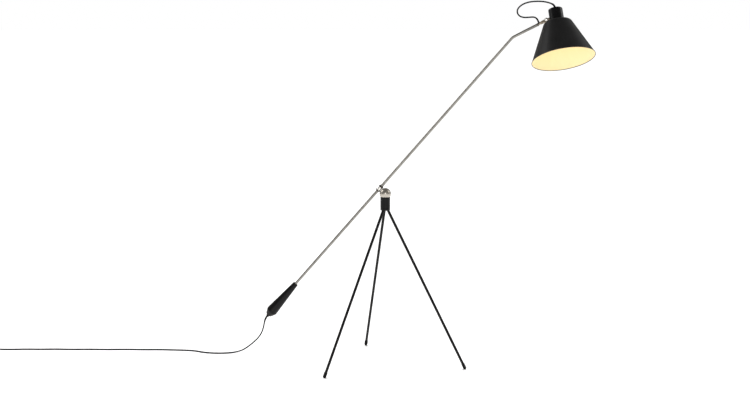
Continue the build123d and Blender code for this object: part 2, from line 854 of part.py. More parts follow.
# ---------------------------------------------------------------- cords and what is on them
def make_shade_lead():
    start = knuckle_frame * Pos(lead_hole_reach, 0, shade_lead_start_rise)
    rise = start * Pos(0, 0, shade_lead_first_run)
    end = shade_frame * Pos(0, 0, neck_rise + gland_height)
    before_end = shade_frame * Pos(0, 0, neck_rise + gland_height + shade_lead_end_run)
    points = [tuple(start.position), tuple(rise.position), *shade_lead_route,
              tuple(before_end.position), tuple(end.position)]
    return cord_tube("shade_lead", points)


def make_coil():
    """Outer form of the tied coil."""
    return Pos(*coil_centre, 0) * rod(
        coil_middle_radius + coil_half_width, 0, coil_height,
        bore=coil_middle_radius - coil_half_width,
    )


def make_tie():
    """Strap round the coil's section, at its far side."""
    outer = block(
        (-coil_half_width - tie_thickness, coil_half_width + tie_thickness),
        (-tie_width / 2, tie_width / 2),
        (0, coil_height + tie_thickness),
    )
    place = Pos(*coil_centre, 0) * Pos(-coil_middle_radius, 0, 0)
    return place * outer - make_coil()


def case_half(low, high, hollow_low, hollow_high):
    """Half of the switch case, hollow, split where the lead lies."""
    half = switch_length / 2
    case = block((-half, half), (-switch_width / 2, switch_width / 2), (low, high))
    case = fillet(case.edges().filter_by(Axis.Z), switch_round)
    case -= block(
        (-half + switch_clamp_length, half - switch_clamp_length),
        (-switch_width / 2 + switch_wall, switch_width / 2 - switch_wall),
        (hollow_low, hollow_high),
    )
    case -= Pos(0, 0, switch_groove_height) * along_x * rod(cord_radius, -half - 1, half + 1)
    for place in switch_screw_places:
        case -= place * rod(switch_screw_radius, switch_wall, 2 * switch_half_height + 1)
    return case


def make_switch_lower():
    return switch_frame * case_half(
        0, switch_groove_height, switch_wall, switch_groove_height + 1
    )


def make_switch_upper():
    high = 2 * switch_half_height
    case = case_half(switch_groove_height, high, switch_groove_height - 1, high - switch_wall)
    half_length = rocker_length / 2 + rocker_play
    half_width = rocker_width / 2 + rocker_play
    case -= block(
        (-half_length, half_length), (-half_width, half_width), (switch_groove_height, high + 1)
    )
    return switch_frame * (case - rocker_axle(rocker_axle_radius + running_gap))


def rocker_axle(radius):
    length = rocker_width + 2 * rocker_axle_spare
    return Pos(0, 0, rocker_axle_height) * Rot(90, 0, 0) * Cylinder(radius, length)


def make_rocker():
    """Rocker that leans to one side, on its own little axle."""
    profile = Polyline(
        (-rocker_length / 2, rocker_axle_height - 2.0),
        (-rocker_length / 2, rocker_axle_height + 2.2),
        (0, rocker_axle_height + 3.6),
        (rocker_length / 2 - 0.8, rocker_axle_height + 4.8),
        (rocker_length / 2, rocker_axle_height - 1.0),
        (rocker_length / 5, rocker_axle_height - 3.2),
        (-rocker_length / 5, rocker_axle_height - 3.2),
        close=True,
    )
    rocker = extrude(make_face(Plane.XZ * profile), rocker_width / 2, both=True)
    return switch_frame * (rocker + rocker_axle(rocker_axle_radius))


def make_switch_screws():
    top = 2 * switch_half_height
    screw = rod(switch_screw_radius, switch_wall, top)
    screw -= Pos(0, 0, top) * Box(screw_slot_width, 4 * switch_screw_radius, 2 * screw_slot_depth)
    return Compound([switch_frame * place * screw for place in switch_screw_places])


def make_plug_body():
    """Flat plug: a narrow waist at the lead, wide at the pins."""
    shape = Polyline(
        (0, -plug_waist_width / 2),
        (plug_shoulder, -plug_width / 2),
        (plug_length, -plug_width / 2),
        (plug_length, plug_width / 2),
        (plug_shoulder, plug_width / 2),
        (0, plug_waist_width / 2),
        close=True,
    )
    body = extrude(make_face(shape), plug_thickness / 2, both=True)
    body = fillet(body.edges().filter_by(Axis.Z), plug_round)
    flats = body.edges().group_by(Axis.Z)
    body = chamfer(flats[0] + flats[-1], plug_chamfer)
    for pin in plug_pin_shapes():
        body -= pin
    return plug_frame * body


def plug_pin_shapes():
    pin = along_x * (
        rod(plug_pin_radius, plug_length, plug_length + plug_pin_length)
        + rod(plug_pin_root_radius, plug_length - plug_pin_root, plug_length)
    )
    return [Pos(0, side * plug_pin_spacing / 2, 0) * pin for side in (-1, 1)]


def make_plug_pins():
    return Compound([plug_frame * pin for pin in plug_pin_shapes()])


# ---------------------------------------------------------------- the whole lamp
def make_parts():
    parts = {
        "head_body": make_head(),
        "pan_bush": make_pan_bush(),
        "pan_set_screw": make_pan_set_screw(),
    }
    for name, azimuth in leg_azimuths.items():
        parts[f"leg_tube_{name}"] = make_leg(azimuth)
        parts[f"leg_insert_{name}"] = make_leg_insert(azimuth)
        parts[f"foot_cap_{name}"] = make_foot(azimuth)
    parts |= {
        "steel_ball": make_ball(),
        "ball_stud": make_ball_stud(),
        "pole_disc_lower": make_pole_disc(-1),
        "pole_disc_upper": make_pole_disc(1),
        "ring_magnet": make_magnet(),
        "clamp_sleeve": make_sleeve(),
        "arm_tube": make_arm_tube(),
        "stop_rings": make_stop_rings(),
        "handle_shell": make_handle(),
        "handle_cap": make_handle_cap(),
        "handle_grub_screw": make_grip_screw(),
        "counterweight_core": make_counterweight(),
        "handle_cord_bush": make_cord_bush(),
        "arm_inner_lead": make_inner_lead(),
        "tube_end_bush": make_end_bush(),
        "swivel_stem": make_stem(),
        "stem_clip": make_stem_clip(),
        "lead_grommet": make_grommet(),
        "knuckle_fork": make_fork(),
        "pivot_screw": make_pivot_screw(),
        "pivot_washer": make_pivot_washer(),
        "pivot_nut": make_pivot_nut(),
        "knuckle_eye": make_eye(),
        "lug_nut": make_lug_nut(),
        "neck_can": make_neck(),
        "shade_shell": make_shade(),
        "shade_ring": make_shade_ring(),
        "holder_nipple": make_nipple(),
        "nipple_nut": make_nipple_nut(),
        "neck_cord_gland": make_gland(),
        "lamp_holder": make_holder(),
        "holder_screw_shell": make_screw_shell(),
        "holder_contact": make_centre_contact(),
        "bulb_cap": make_bulb_cap(),
        "bulb_tip": make_bulb_tip(),
        "bulb_glass": make_bulb(),
        "shade_lead": make_shade_lead(),
        "mains_lead": cord_tube("mains_lead", mains_route),
        "mains_lead_to_coil": cord_tube("mains_lead_to_coil", coil_lead_route),
        "mains_lead_coil": make_coil(),
        "mains_lead_to_plug": cord_tube("mains_lead_to_plug", plug_lead_route),
        "coil_tie": make_tie(),
        "switch_case_lower": make_switch_lower(),
        "switch_case_upper": make_switch_upper(),
        "switch_screws": make_switch_screws(),
        "switch_rocker": make_rocker(),
        "plug_body": make_plug_body(),
        "plug_pins": make_plug_pins(),
    }
    return parts


lamp = make_parts()
os.makedirs("parts", exist_ok=True)
for name, shape in lamp.items():
    export_step(shape, f"parts/{name}.step")
print(len(lamp), "parts")
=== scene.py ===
import json
import math

import bmesh
import bpy
import numpy as np
from mathutils import Matrix, Vector


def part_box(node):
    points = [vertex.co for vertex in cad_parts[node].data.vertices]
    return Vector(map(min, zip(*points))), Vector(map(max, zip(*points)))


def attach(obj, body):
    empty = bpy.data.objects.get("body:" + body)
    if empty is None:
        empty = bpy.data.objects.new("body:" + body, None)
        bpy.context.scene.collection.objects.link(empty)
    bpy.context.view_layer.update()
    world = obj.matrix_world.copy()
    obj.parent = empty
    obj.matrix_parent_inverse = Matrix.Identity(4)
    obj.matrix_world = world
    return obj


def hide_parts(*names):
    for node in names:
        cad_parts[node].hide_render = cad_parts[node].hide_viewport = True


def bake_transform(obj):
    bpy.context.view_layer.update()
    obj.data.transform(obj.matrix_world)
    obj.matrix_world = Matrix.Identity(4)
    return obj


# Adjustable arm floor lamp: tripod, steel ball, magnet clamp, counterweighted arm and cone shade.
# Metres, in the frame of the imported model.

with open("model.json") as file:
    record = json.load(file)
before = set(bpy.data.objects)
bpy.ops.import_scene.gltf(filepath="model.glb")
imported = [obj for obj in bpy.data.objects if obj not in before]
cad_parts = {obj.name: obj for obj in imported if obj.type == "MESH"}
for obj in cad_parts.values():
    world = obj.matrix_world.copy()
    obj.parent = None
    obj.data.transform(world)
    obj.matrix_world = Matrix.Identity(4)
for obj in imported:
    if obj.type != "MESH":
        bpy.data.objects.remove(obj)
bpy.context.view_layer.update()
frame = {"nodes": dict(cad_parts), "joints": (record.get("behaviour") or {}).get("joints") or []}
NODES = frame["nodes"]
JOINTS = {joint["name"]: joint for joint in frame["joints"]}
MM = 0.001


# Places, from the frame.
def placed(origin, z_axis, x_hint=(0.0, 1.0, 0.0)):
    """Matrix with its origin there and Z along z_axis."""
    z = Vector(z_axis).normalized()
    x = (Vector(x_hint) - z * Vector(x_hint).dot(z)).normalized()
    y = z.cross(x)
    return Matrix.Translation(Vector(origin)) @ Matrix((x, y, z)).transposed().to_4x4()


def joint_place(name):
    return Vector(JOINTS[name]["pos_m"]), Vector(JOINTS[name]["axis"]).normalized()


BALL_CENTRE, _ = joint_place("ball_pan")
CLAMP_CENTRE, TUBE_AXIS = joint_place("arm_roll")
TIP, TIP_AXIS = joint_place("knuckle_swivel")
PIVOT, PIVOT_AXIS = joint_place("shade_tilt")
KNUCKLE_UP = TIP_AXIS.cross(PIVOT_AXIS)

SHADE_TILT = math.radians(11.7)
NECK_OFFSET = 36 * MM
TILTED = Matrix.Rotation(SHADE_TILT, 3, PIVOT_AXIS)
SHADE_AXIS = TILTED @ KNUCKLE_UP
SHADE_SIDE = TILTED @ TIP_AXIS
SHADE_PLACE = placed(PIVOT + NECK_OFFSET * SHADE_SIDE, SHADE_AXIS, -SHADE_SIDE)
CLAMP_PLACE = placed(CLAMP_CENTRE, TUBE_AXIS)
TIP_PLACE = placed(TIP, TIP_AXIS, KNUCKLE_UP)
BALL_PLACE = Matrix.Translation(BALL_CENTRE)


def extent(node, place):
    """(lowest, highest, least radius, largest radius) of a node about a place's Z axis."""
    local = place.inverted()
    points = np.array([local @ v.co for v in NODES[node].data.vertices])
    radius = np.hypot(points[:, 0], points[:, 1])
    return [float(n) for n in (points[:, 2].min(), points[:, 2].max(), radius.min(), radius.max())]


HANDLE_TOP = extent("handle_shell", CLAMP_PLACE)[1]
HANDLE_PLACE = placed(CLAMP_CENTRE + HANDLE_TOP * TUBE_AXIS, -TUBE_AXIS)


# Camera.
SENSOR_WIDTH, LENS = 36.0, 65.34   # millimetres
CAMERA_PLACE = (-0.038, -5.0, 1.2628)
CAMERA_DIP = 7.74                  # degrees below level


def make_camera():
    data = bpy.data.cameras.new("camera")
    data.sensor_width = SENSOR_WIDTH
    data.lens = LENS
    camera = bpy.data.objects.new("camera", data)
    camera.location = CAMERA_PLACE
    camera.rotation_euler = (math.radians(90 - CAMERA_DIP), 0.0, 0.0)
    bpy.context.scene.collection.objects.link(camera)
    bpy.context.scene.camera = camera


make_camera()

# Cord routes.
CORD_RADIUS = 2.6 * MM
MAINS_ROUTE = [
    (-0.4524, 0.1470, 0.1521), (-0.4593, 0.1492, 0.1440), (-0.4650, 0.1505, 0.1270),
    (-0.4690, 0.1520, 0.1040), (-0.4775, 0.1550, 0.0810), (-0.4925, 0.1600, 0.0595),
    (-0.5130, 0.1670, 0.0395), (-0.5360, 0.1725, 0.0205), (-0.5580, 0.1745, 0.0075),
    (-0.5840, 0.1685, 0.0027), (-0.6060, 0.1580, 0.0027), (-0.6400, 0.1530, 0.0027),
    (-0.6760, 0.1570, 0.0027), (-0.7060, 0.1680, 0.0027), (-0.7330, 0.1880, 0.0027),
    (-0.7680, 0.2010, 0.0027), (-0.8200, 0.2060, 0.0027), (-0.8800, 0.2130, 0.0027),
    (-0.9450, 0.2110, 0.0027), (-1.0150, 0.2170, 0.0027), (-1.0850, 0.2130, 0.0027),
    (-1.1550, 0.2180, 0.0027), (-1.2250, 0.2150, 0.0027), (-1.2900, 0.2210, 0.0027),
    (-1.3500, 0.2170, 0.0027), (-1.4050, 0.2200, 0.0027), (-1.4600, 0.2150, 0.0027),
    (-1.5020, 0.2165, 0.0027), (-1.5290, 0.2163, 0.0040), (-1.5400, 0.2160, 0.0065),
    (-1.5500, 0.2160, 0.0065),
]
IN_SWITCH_ROUTE = [
    (-1.5620, 0.2160, 0.0046), (-1.5800, 0.2160, 0.0044), (-1.5980, 0.2160, 0.0046),
]
COIL_LEAD_ROUTE = [
    (-1.6100, 0.2160, 0.0065), (-1.6190, 0.2160, 0.0065), (-1.6290, 0.2225, 0.0046),
    (-1.6375, 0.2300, 0.0032),
]
PLUG_LEAD_ROUTE = [
    (-1.6885, 0.1780, 0.0082), (-1.6917, 0.1690, 0.0076), (-1.6924, 0.1605, 0.0070),
    (-1.6924, 0.1520, 0.0070),
]
SHADE_LEAD_ROUTE = [
    (0.5295, -0.1685, 1.2870), (0.5185, -0.1680, 1.2910), (0.5020, -0.1680, 1.2894),
    (0.4830, -0.1680, 1.2888), (0.4680, -0.1680, 1.2945), (0.4605, -0.1680, 1.3075),
    (0.4645, -0.1680, 1.3220), (0.4790, -0.1680, 1.3345), (0.4990, -0.1680, 1.3420),
    (0.5230, -0.1680, 1.3453), (0.5490, -0.1695, 1.3450), (0.5730, -0.1730, 1.3405),
]
SHADE_LEAD_RISES = (1 * MM, 12 * MM)   # first two points over the knuckle's side hole
SHADE_LEAD_END_RUN = 10 * MM
LEAD_HOLE_REACH = 5.6 * MM

COIL_POINTS_PER_TURN = 16
COIL_OUTER, COIL_INNER = 33.4 * MM, 22.6 * MM
COIL_LOW, COIL_HIGH = 2.7 * MM, 8.1 * MM
COIL_START = math.radians(68.0)
COIL_LAYER_TURNS = 2.0
COIL_CLIMB_TURNS = 0.39
TOUCHDOWN = 1.04 * COIL_LOW   # the lead's middle lies lower than this once it is on the floor


def coil_points():
    """The put-away length: two flat layers, the first wound inwards and the second outwards."""
    low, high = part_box("mains_lead_coil")
    centre = (low + high) / 2
    turns = 2 * COIL_LAYER_TURNS + COIL_CLIMB_TURNS
    count = round(turns * COIL_POINTS_PER_TURN)
    points = []
    for index in range(count + 1):
        turn = turns * index / count
        inwards = min(turn / COIL_LAYER_TURNS, 1.0)
        climb = min(max(turn - COIL_LAYER_TURNS, 0.0) / COIL_CLIMB_TURNS, 1.0)
        outwards = max(turn - COIL_LAYER_TURNS - COIL_CLIMB_TURNS, 0.0) / COIL_LAYER_TURNS
        radius = COIL_OUTER + (COIL_INNER - COIL_OUTER) * (inwards - outwards)
        height = COIL_LOW + (COIL_HIGH - COIL_LOW) * climb
        angle = COIL_START + math.tau * turn
        points.append((centre.x + radius * math.cos(angle),
                       centre.y + radius * math.sin(angle), height))
    return points


STEPS_PER_POINT = 10
SAME_POINT = 1e-6


def nurbs(name, points):
    """A smooth open curve with the route's points as its control points."""
    data = bpy.data.curves.new(name, "CURVE")
    data.dimensions = "3D"
    data.resolution_u = STEPS_PER_POINT
    spline = data.splines.new("NURBS")
    spline.points.add(len(points) - 1)
    for point, place in zip(spline.points, points):
        point.co = (*place, 1.0)
    spline.order_u = 3
    spline.use_endpoint_u = True
    made = bpy.data.objects.new(name, data)
    bpy.context.scene.collection.objects.link(made)
    return made


def line_of(points):
    """Points along the smooth curve through a route."""
    curve = nurbs("route", points)
    bpy.context.view_layer.update()
    evaluated = curve.evaluated_get(bpy.context.evaluated_depsgraph_get())
    mesh = bpy.data.meshes.new_from_object(evaluated)
    line = [v.co.copy() for v in mesh.vertices]
    bpy.data.meshes.remove(mesh)
    bpy.data.objects.remove(curve)
    return [p for i, p in enumerate(line) if i == 0 or (p - line[i - 1]).length > SAME_POINT]


def length_of(line):
    return sum((b - a).length for a, b in zip(line, line[1:]))


# Shader writing.
class Value:
    """A shader socket that takes part in plain arithmetic."""

    def __init__(self, finish, socket):
        self.finish = finish
        self.socket = socket

    def _math(self, operation, first, second):
        node = self.finish.node("ShaderNodeMath", {"operation": operation}, {0: first, 1: second})
        return Value(self.finish, node.outputs[0])

    def __add__(self, other):
        return self._math("ADD", self, other)

    def __radd__(self, other):
        return self._math("ADD", other, self)

    def __sub__(self, other):
        return self._math("SUBTRACT", self, other)

    def __rsub__(self, other):
        return self._math("SUBTRACT", other, self)

    def __mul__(self, other):
        return self._math("MULTIPLY", self, other)

    def __rmul__(self, other):
        return self._math("MULTIPLY", other, self)

    def step(self, low, high):
        """0 below low, 1 above high, smooth between."""
        node = self.finish.node(
            "ShaderNodeMapRange", {"interpolation_type": "SMOOTHSTEP"},
            {"Value": self, "From Min": low, "From Max": high},
        )
        return Value(self.finish, node.outputs["Result"])


WORN_POINTINESS = (0.53, 0.62)


class Finish:
    """One procedural material on a principled shader."""

    def __init__(self, name, **constants):
        self.material = bpy.data.materials.new(name)
        self.material.use_nodes = True
        self.tree = self.material.node_tree
        self.shader = self.tree.nodes["Principled BSDF"]
        self.set(**constants)

    def node(self, kind, settings, values):
        """A node of any kind: its settings first, then its sockets' values or links."""
        made = self.tree.nodes.new(kind)
        for name, setting in settings.items():
            setattr(made, name, setting)
        for name, value in values.items():
            if isinstance(value, Value):
                self.tree.links.new(value.socket, made.inputs[name])
            else:
                made.inputs[name].default_value = value
        return made

    def place(self, place=None, stretch=(1.0, 1.0, 1.0)):
        """The surface's own coordinates, seen from a place and stretched along its axes."""
        coordinates = self.node("ShaderNodeTexCoord", {}, {})
        local = (place or Matrix.Identity(4)).inverted()
        turned = self.node(
            "ShaderNodeMapping", {},
            {"Vector": Value(self, coordinates.outputs["Object"]),
             "Location": local.translation, "Rotation": local.to_euler("XYZ")},
        )
        scaled = self.node(
            "ShaderNodeMapping", {},
            {"Vector": Value(self, turned.outputs[0]), "Scale": stretch},
        )
        return Value(self, scaled.outputs[0])

    def noise(self, vector, scale, detail=4.0, roughness=0.55):
        node = self.node(
            "ShaderNodeTexNoise", {"noise_dimensions": "3D"},
            {"Vector": vector, "Scale": scale, "Detail": detail, "Roughness": roughness},
        )
        return Value(self, node.outputs[0])

    def cells(self, vector, scale):
        node = self.node(
            "ShaderNodeTexVoronoi", {"feature": "DISTANCE_TO_EDGE"},
            {"Vector": vector, "Scale": scale},
        )
        return Value(self, node.outputs["Distance"])

    def height_of(self, vector):
        node = self.node("ShaderNodeSeparateXYZ", {}, {"Vector": vector})
        return Value(self, node.outputs["Z"])

    def sine(self, value):
        node = self.node("ShaderNodeMath", {"operation": "SINE"}, {0: value})
        return Value(self, node.outputs[0])

    def edges(self):
        """1 on worn outer edges, 0 on flats."""
        node = self.node("ShaderNodeNewGeometry", {}, {})
        return Value(self, node.outputs["Pointiness"]).step(*WORN_POINTINESS)

    def blend(self, factor, first, second):
        """Colour between two colours."""
        node = self.node(
            "ShaderNodeMix", {"data_type": "RGBA"},
            {"Factor": factor, 6: self._colour(first), 7: self._colour(second)},
        )
        return Value(self, node.outputs[2])

    @staticmethod
    def _colour(colour):
        return colour if isinstance(colour, Value) else (*colour, 1.0)

    def bump(self, height, depth):
        node = self.node("ShaderNodeBump", {}, {"Height": height, "Distance": depth})
        self.set(Normal=Value(self, node.outputs[0]))

    def set(self, **sockets):
        """Values or links of the shader's own sockets, with _ for a space in a name."""
        for name, value in sockets.items():
            socket = self.shader.inputs[name.replace("_", " ")]
            if isinstance(value, Value):
                self.tree.links.new(value.socket, socket)
            elif socket.type == "RGBA":
                socket.default_value = (*value, 1.0)
            else:
                socket.default_value = value


# Finishes.
def spun_enamel(name, place, colour, worn, ring_pitch, coat, gloss=0.14):
    """Stoved enamel on a turned or spun piece: faint rings, orange peel and rubbed edges."""
    made = Finish(name, Specular_IOR_Level=gloss, Coat_Roughness=0.16)
    flat = made.place(place)
    peel = made.noise(flat, 900.0, 2.0)
    cloud = made.noise(flat, 14.0, 5.0)
    dust = made.noise(flat, 240.0, 6.0, 0.7)
    rings = made.sine(made.height_of(flat) * (math.tau / ring_pitch))
    wear = made.edges() * made.noise(flat, 160.0, 5.0).step(0.45, 0.62)
    tone = made.blend(cloud.step(0.3, 0.75), colour, tuple(c * 1.7 + 0.001 for c in colour))
    made.set(
        Base_Color=made.blend(wear * 0.5, tone, worn),
        Roughness=0.32 + cloud * 0.06 + dust.step(0.55, 0.8) * 0.06 + wear * 0.15,
        Coat_Weight=coat - dust.step(0.5, 0.8) * 0.5 * coat,
    )
    made.bump(peel * 0.5 + rings * 0.12 + dust * 0.25, 0.000018)
    return made.material


def leg_enamel():
    """Satin black on drawn steel tube, with drawing lines along it and small chips."""
    made = Finish("leg_black_enamel", Specular_IOR_Level=0.12, Coat_Roughness=0.2)
    along = made.place(None, (1.0, 1.0, 0.06))
    flat = made.place()
    lines = made.noise(along, 1400.0, 3.0)
    cloud = made.noise(flat, 9.0, 5.0)
    chips = made.noise(flat, 420.0, 3.0).step(0.71, 0.74)
    tone = made.blend(cloud, (0.003, 0.003, 0.0032), (0.007, 0.0068, 0.0066))
    made.set(
        Base_Color=made.blend(chips, tone, (0.07, 0.066, 0.062)),
        Roughness=0.34 + cloud * 0.12 + lines * 0.08,
        Coat_Weight=0.06 - chips * 0.06,
    )
    made.bump(lines * 0.5 - chips, 0.00002)
    return made.material


def brushed_nickel(name, place, colour, shadow, roughness, grain_scale, tarnish, bent_place=None):
    """Satin plated metal with its grain along Z, darker where it is handled and in its pores.
    Above a bent place's start the grain lies along that place's Z."""
    made = Finish(name, Metallic=1.0)
    flat = made.place(place)
    grain = made.noise(made.place(place, (1.0, 1.0, 0.03)), grain_scale, 4.0, 0.6)
    if bent_place:
        bent = made.height_of(made.place(bent_place)).step(-ARM_TIP_RUN, GRAIN_TURN - ARM_TIP_RUN)
        tip_grain = made.noise(made.place(bent_place, (1.0, 1.0, 0.03)), grain_scale, 4.0, 0.6)
        grain = grain * (1.0 - bent) + tip_grain * bent
    cloud = made.noise(flat, 22.0, 6.0, 0.6)
    specks = made.noise(flat, 700.0, 3.0).step(0.66, 0.74)
    dull = cloud.step(0.42, 0.72) * tarnish
    made.set(
        Base_Color=made.blend(dull + specks * 0.5, made.blend(grain, shadow, colour), shadow),
        Roughness=roughness + grain * 0.12 + dull * 0.15 + specks * 0.1,
    )
    made.bump(grain - specks * 0.5, 0.00004)
    return made.material


def turned_metal(name, place, colour, shadow, roughness, pitch, scratches=0.2):
    """Metal turned on a lathe and polished: fine rings, hairline scratches and grime in clouds."""
    made = Finish(name, Metallic=1.0)
    flat = made.place(place)
    rings = made.sine(made.height_of(flat) * (math.tau / pitch))
    cloud = made.noise(flat, 60.0, 5.0)
    hair = 1.0 - made.cells(made.place(place, (1.0, 1.0, 6.0)), 70.0).step(0.0, 0.03)
    grime = cloud.step(0.5, 0.8)
    made.set(
        Base_Color=made.blend(grime * 0.6 + hair * 0.15, colour, shadow),
        Roughness=roughness + grime * 0.12 + hair * scratches * 0.5,
    )
    made.bump(rings * 0.25 - hair * scratches, 0.000008)
    return made.material


def cast_iron():
    made = Finish("cast_iron_core", Metallic=1.0)
    flat = made.place()
    grit = made.noise(flat, 500.0, 6.0, 0.7)
    made.set(
        Base_Color=made.blend(grit, (0.10, 0.095, 0.09), (0.26, 0.25, 0.24)),
        Roughness=0.55 + grit * 0.3,
    )
    made.bump(grit, 0.0002)
    return made.material


def rubber(name, colour, shine):
    """Moulded rubber: fine grain, a bloom of dust and scuffs on its edges."""
    made = Finish(name, Specular_IOR_Level=0.15)
    flat = made.place()
    grain = made.noise(flat, 1600.0, 3.0)
    bloom = made.noise(flat, 60.0, 5.0)
    scuff = made.edges() * made.noise(flat, 300.0, 4.0)
    dusty = tuple(c * 2.2 + 0.006 for c in colour)
    made.set(
        Base_Color=made.blend(bloom.step(0.45, 0.8) * 0.6 + scuff * 0.4, colour, dusty),
        Roughness=shine + bloom * 0.15 + grain * 0.08,
    )
    made.bump(grain + bloom * 0.6, 0.00006)
    return made.material


def moulded_black(name, colour, roughness):
    """Pressed thermoset with a light polish, swirl and fine scratches."""
    made = Finish(name, Specular_IOR_Level=0.35, Coat_Roughness=0.12)
    flat = made.place()
    swirl = made.noise(flat, 35.0, 8.0, 0.7)
    scratch = 1.0 - made.cells(made.place(None, (1.0, 5.0, 1.0)), 90.0).step(0.0, 0.02)
    made.set(
        Base_Color=made.blend(swirl.step(0.4, 0.7), colour, tuple(c * 1.9 + 0.002 for c in colour)),
        Roughness=roughness + swirl * 0.15 + scratch * 0.12,
        Coat_Weight=0.15 - scratch * 0.12,
    )
    made.bump(swirl * 0.4 - scratch * 0.3, 0.00005)
    return made.material


def cream_enamel_painted_glow():
    """Warm cream enamel inside the shade, with a painted glow for the bulb's light on it, brighter
    towards the bulb.
    """
    # The emission is painted glow: the bulb's light on the enamel, painted into the surface.
    made = Finish("shade_cream_enamel", Specular_IOR_Level=0.3, Emission_Strength=0.12)
    flat = made.place(SHADE_PLACE)
    peel = made.noise(flat, 600.0, 2.0)
    cloud = made.noise(flat, 18.0, 5.0)
    rings = made.sine(made.height_of(flat) * (math.tau / 0.0021))
    # Mask of the painted glow: 0 at the mouth, 1 at the top near the bulb.
    painted_glow_towards_bulb = made.height_of(flat).step(SHADE_MOUTH, SHADE_TOP)
    tone = made.blend(cloud, (0.84, 0.71, 0.44), (0.81, 0.67, 0.40))
    made.set(
        Base_Color=tone,
        Roughness=0.42 + cloud * 0.12,
        Emission_Color=made.blend(painted_glow_towards_bulb, (1.0, 0.84, 0.42), (1.0, 0.92, 0.50)),
    )
    made.bump(peel * 0.4 + rings * 0.2, 0.00006)
    return made.material


def lit_opal():
    """Opal glass, lit from inside: whitest at its middle and a little warmer at the neck."""
    made = Finish("bulb_lit_opal", Roughness=0.25, Emission_Strength=0.78)
    flat = made.place(SHADE_PLACE)
    cloud = made.noise(flat, 40.0, 3.0)
    height = made.height_of(flat).step(BULB_BOTTOM, BULB_TOP)
    made.set(
        Base_Color=made.blend(cloud, (0.95, 0.93, 0.86), (0.92, 0.89, 0.80)),
        Emission_Color=made.blend(height, (1.0, 0.90, 0.50), (1.0, 0.78, 0.36)),
        Roughness=0.2 + cloud * 0.1,
    )
    made.bump(cloud, 0.00005)
    return made.material


def cord_sheath():
    """Smooth black sheath, dulled by handling, with a little dust on it."""
    made = Finish("lead_black_sheath", Specular_IOR_Level=0.08)
    flat = made.place()
    grain = made.noise(flat, 2200.0, 2.0)
    dust = made.noise(flat, 120.0, 5.0)
    made.set(
        Base_Color=made.blend(
            dust.step(0.5, 0.85) * 0.7, (0.0035, 0.0035, 0.0038), (0.013, 0.0126, 0.012)
        ),
        Roughness=0.42 + dust * 0.18,
    )
    made.bump(grain + dust * 0.5, 0.00004)
    return made.material


# Mesh writing.
SMOOTH_ANGLE = 38.0
ON_AXIS = 1e-7


def new_piece(name, mesh, finish, smooth_angle=SMOOTH_ANGLE):
    """A finished mesh in the scene, smooth but for its sharp edges."""
    mesh.materials.clear()
    mesh.materials.append(PAINT[finish])
    mesh.shade_smooth()
    mesh.set_sharp_from_angle(angle=math.radians(smooth_angle))
    made = bpy.data.objects.new(name, mesh)
    bpy.context.scene.collection.objects.link(made)
    return made


def bmesh_piece(name, build, place, finish, smooth_angle=SMOOTH_ANGLE):
    """A piece from a function that fills a bmesh in the place's own frame."""
    form = bmesh.new()
    build(form)
    bmesh.ops.remove_doubles(form, verts=form.verts, dist=ON_AXIS)
    bmesh.ops.recalc_face_normals(form, faces=form.faces)
    mesh = bpy.data.meshes.new(name)
    form.to_mesh(mesh)
    form.free()
    mesh.transform(place)
    return new_piece(name, mesh, finish, smooth_angle)


def softened(outline, steps=6):
    """An outline whose points may carry a third number, the radius that rounds them."""
    points = []
    for index, point in enumerate(outline):
        if len(point) == 2:
            points.append(Vector(point))
            continue
        corner = Vector(point[:2])
        before = (Vector(outline[index - 1][:2]) - corner).normalized()
        after = (Vector(outline[(index + 1) % len(outline)][:2]) - corner).normalized()
        half = before.angle(after) / 2
        reach = point[2] / math.tan(half)
        centre = corner + (before + after).normalized() * point[2] / math.sin(half)
        start = corner + before * reach - centre
        end = corner + after * reach - centre
        sweep = start.angle_signed(end)
        for step in range(steps + 1):
            turn = Matrix.Rotation(-sweep * step / steps, 2)
            points.append(centre + turn @ start)
    return points


LONGEST_RUN = 4 * MM


def divided(points, closed):
    """The same outline with its long straight runs cut up, so that edge wear stays at the edges."""
    ends = points[1:] + ([points[0]] if closed else [])
    made = []
    for start, end in zip(points, ends):
        parts = max(1, math.ceil((end - start).length / LONGEST_RUN))
        made += [start.lerp(end, k / parts) for k in range(parts)]
    return made if closed else made + [points[-1]]


def turned_piece(name, outline, place, finish, segments=96, closed=False, smooth_angle=SMOOTH_ANGLE):
    """An outline of (radius, height) points turned about the place's Z axis."""
    def build(form):
        rings = []
        for radius, height in divided(softened(outline), closed):
            if radius < ON_AXIS:
                rings.append([form.verts.new((0.0, 0.0, height))])
                continue
            rings.append([
                form.verts.new((radius * math.cos(math.tau * k / segments),
                                radius * math.sin(math.tau * k / segments), height))
                for k in range(segments)
            ])
        pairs = list(zip(rings, rings[1:]))
        if closed:
            pairs.append((rings[-1], rings[0]))
        for lower, upper in pairs:
            if len(lower) == len(upper) == 1:
                continue
            for k in range(segments):
                corners = [lower[k % len(lower)], lower[(k + 1) % len(lower)],
                           upper[(k + 1) % len(upper)], upper[k % len(upper)]]
                unique = list(dict.fromkeys(corners))
                form.faces.new(unique)
    return bmesh_piece(name, build, place, finish, smooth_angle)


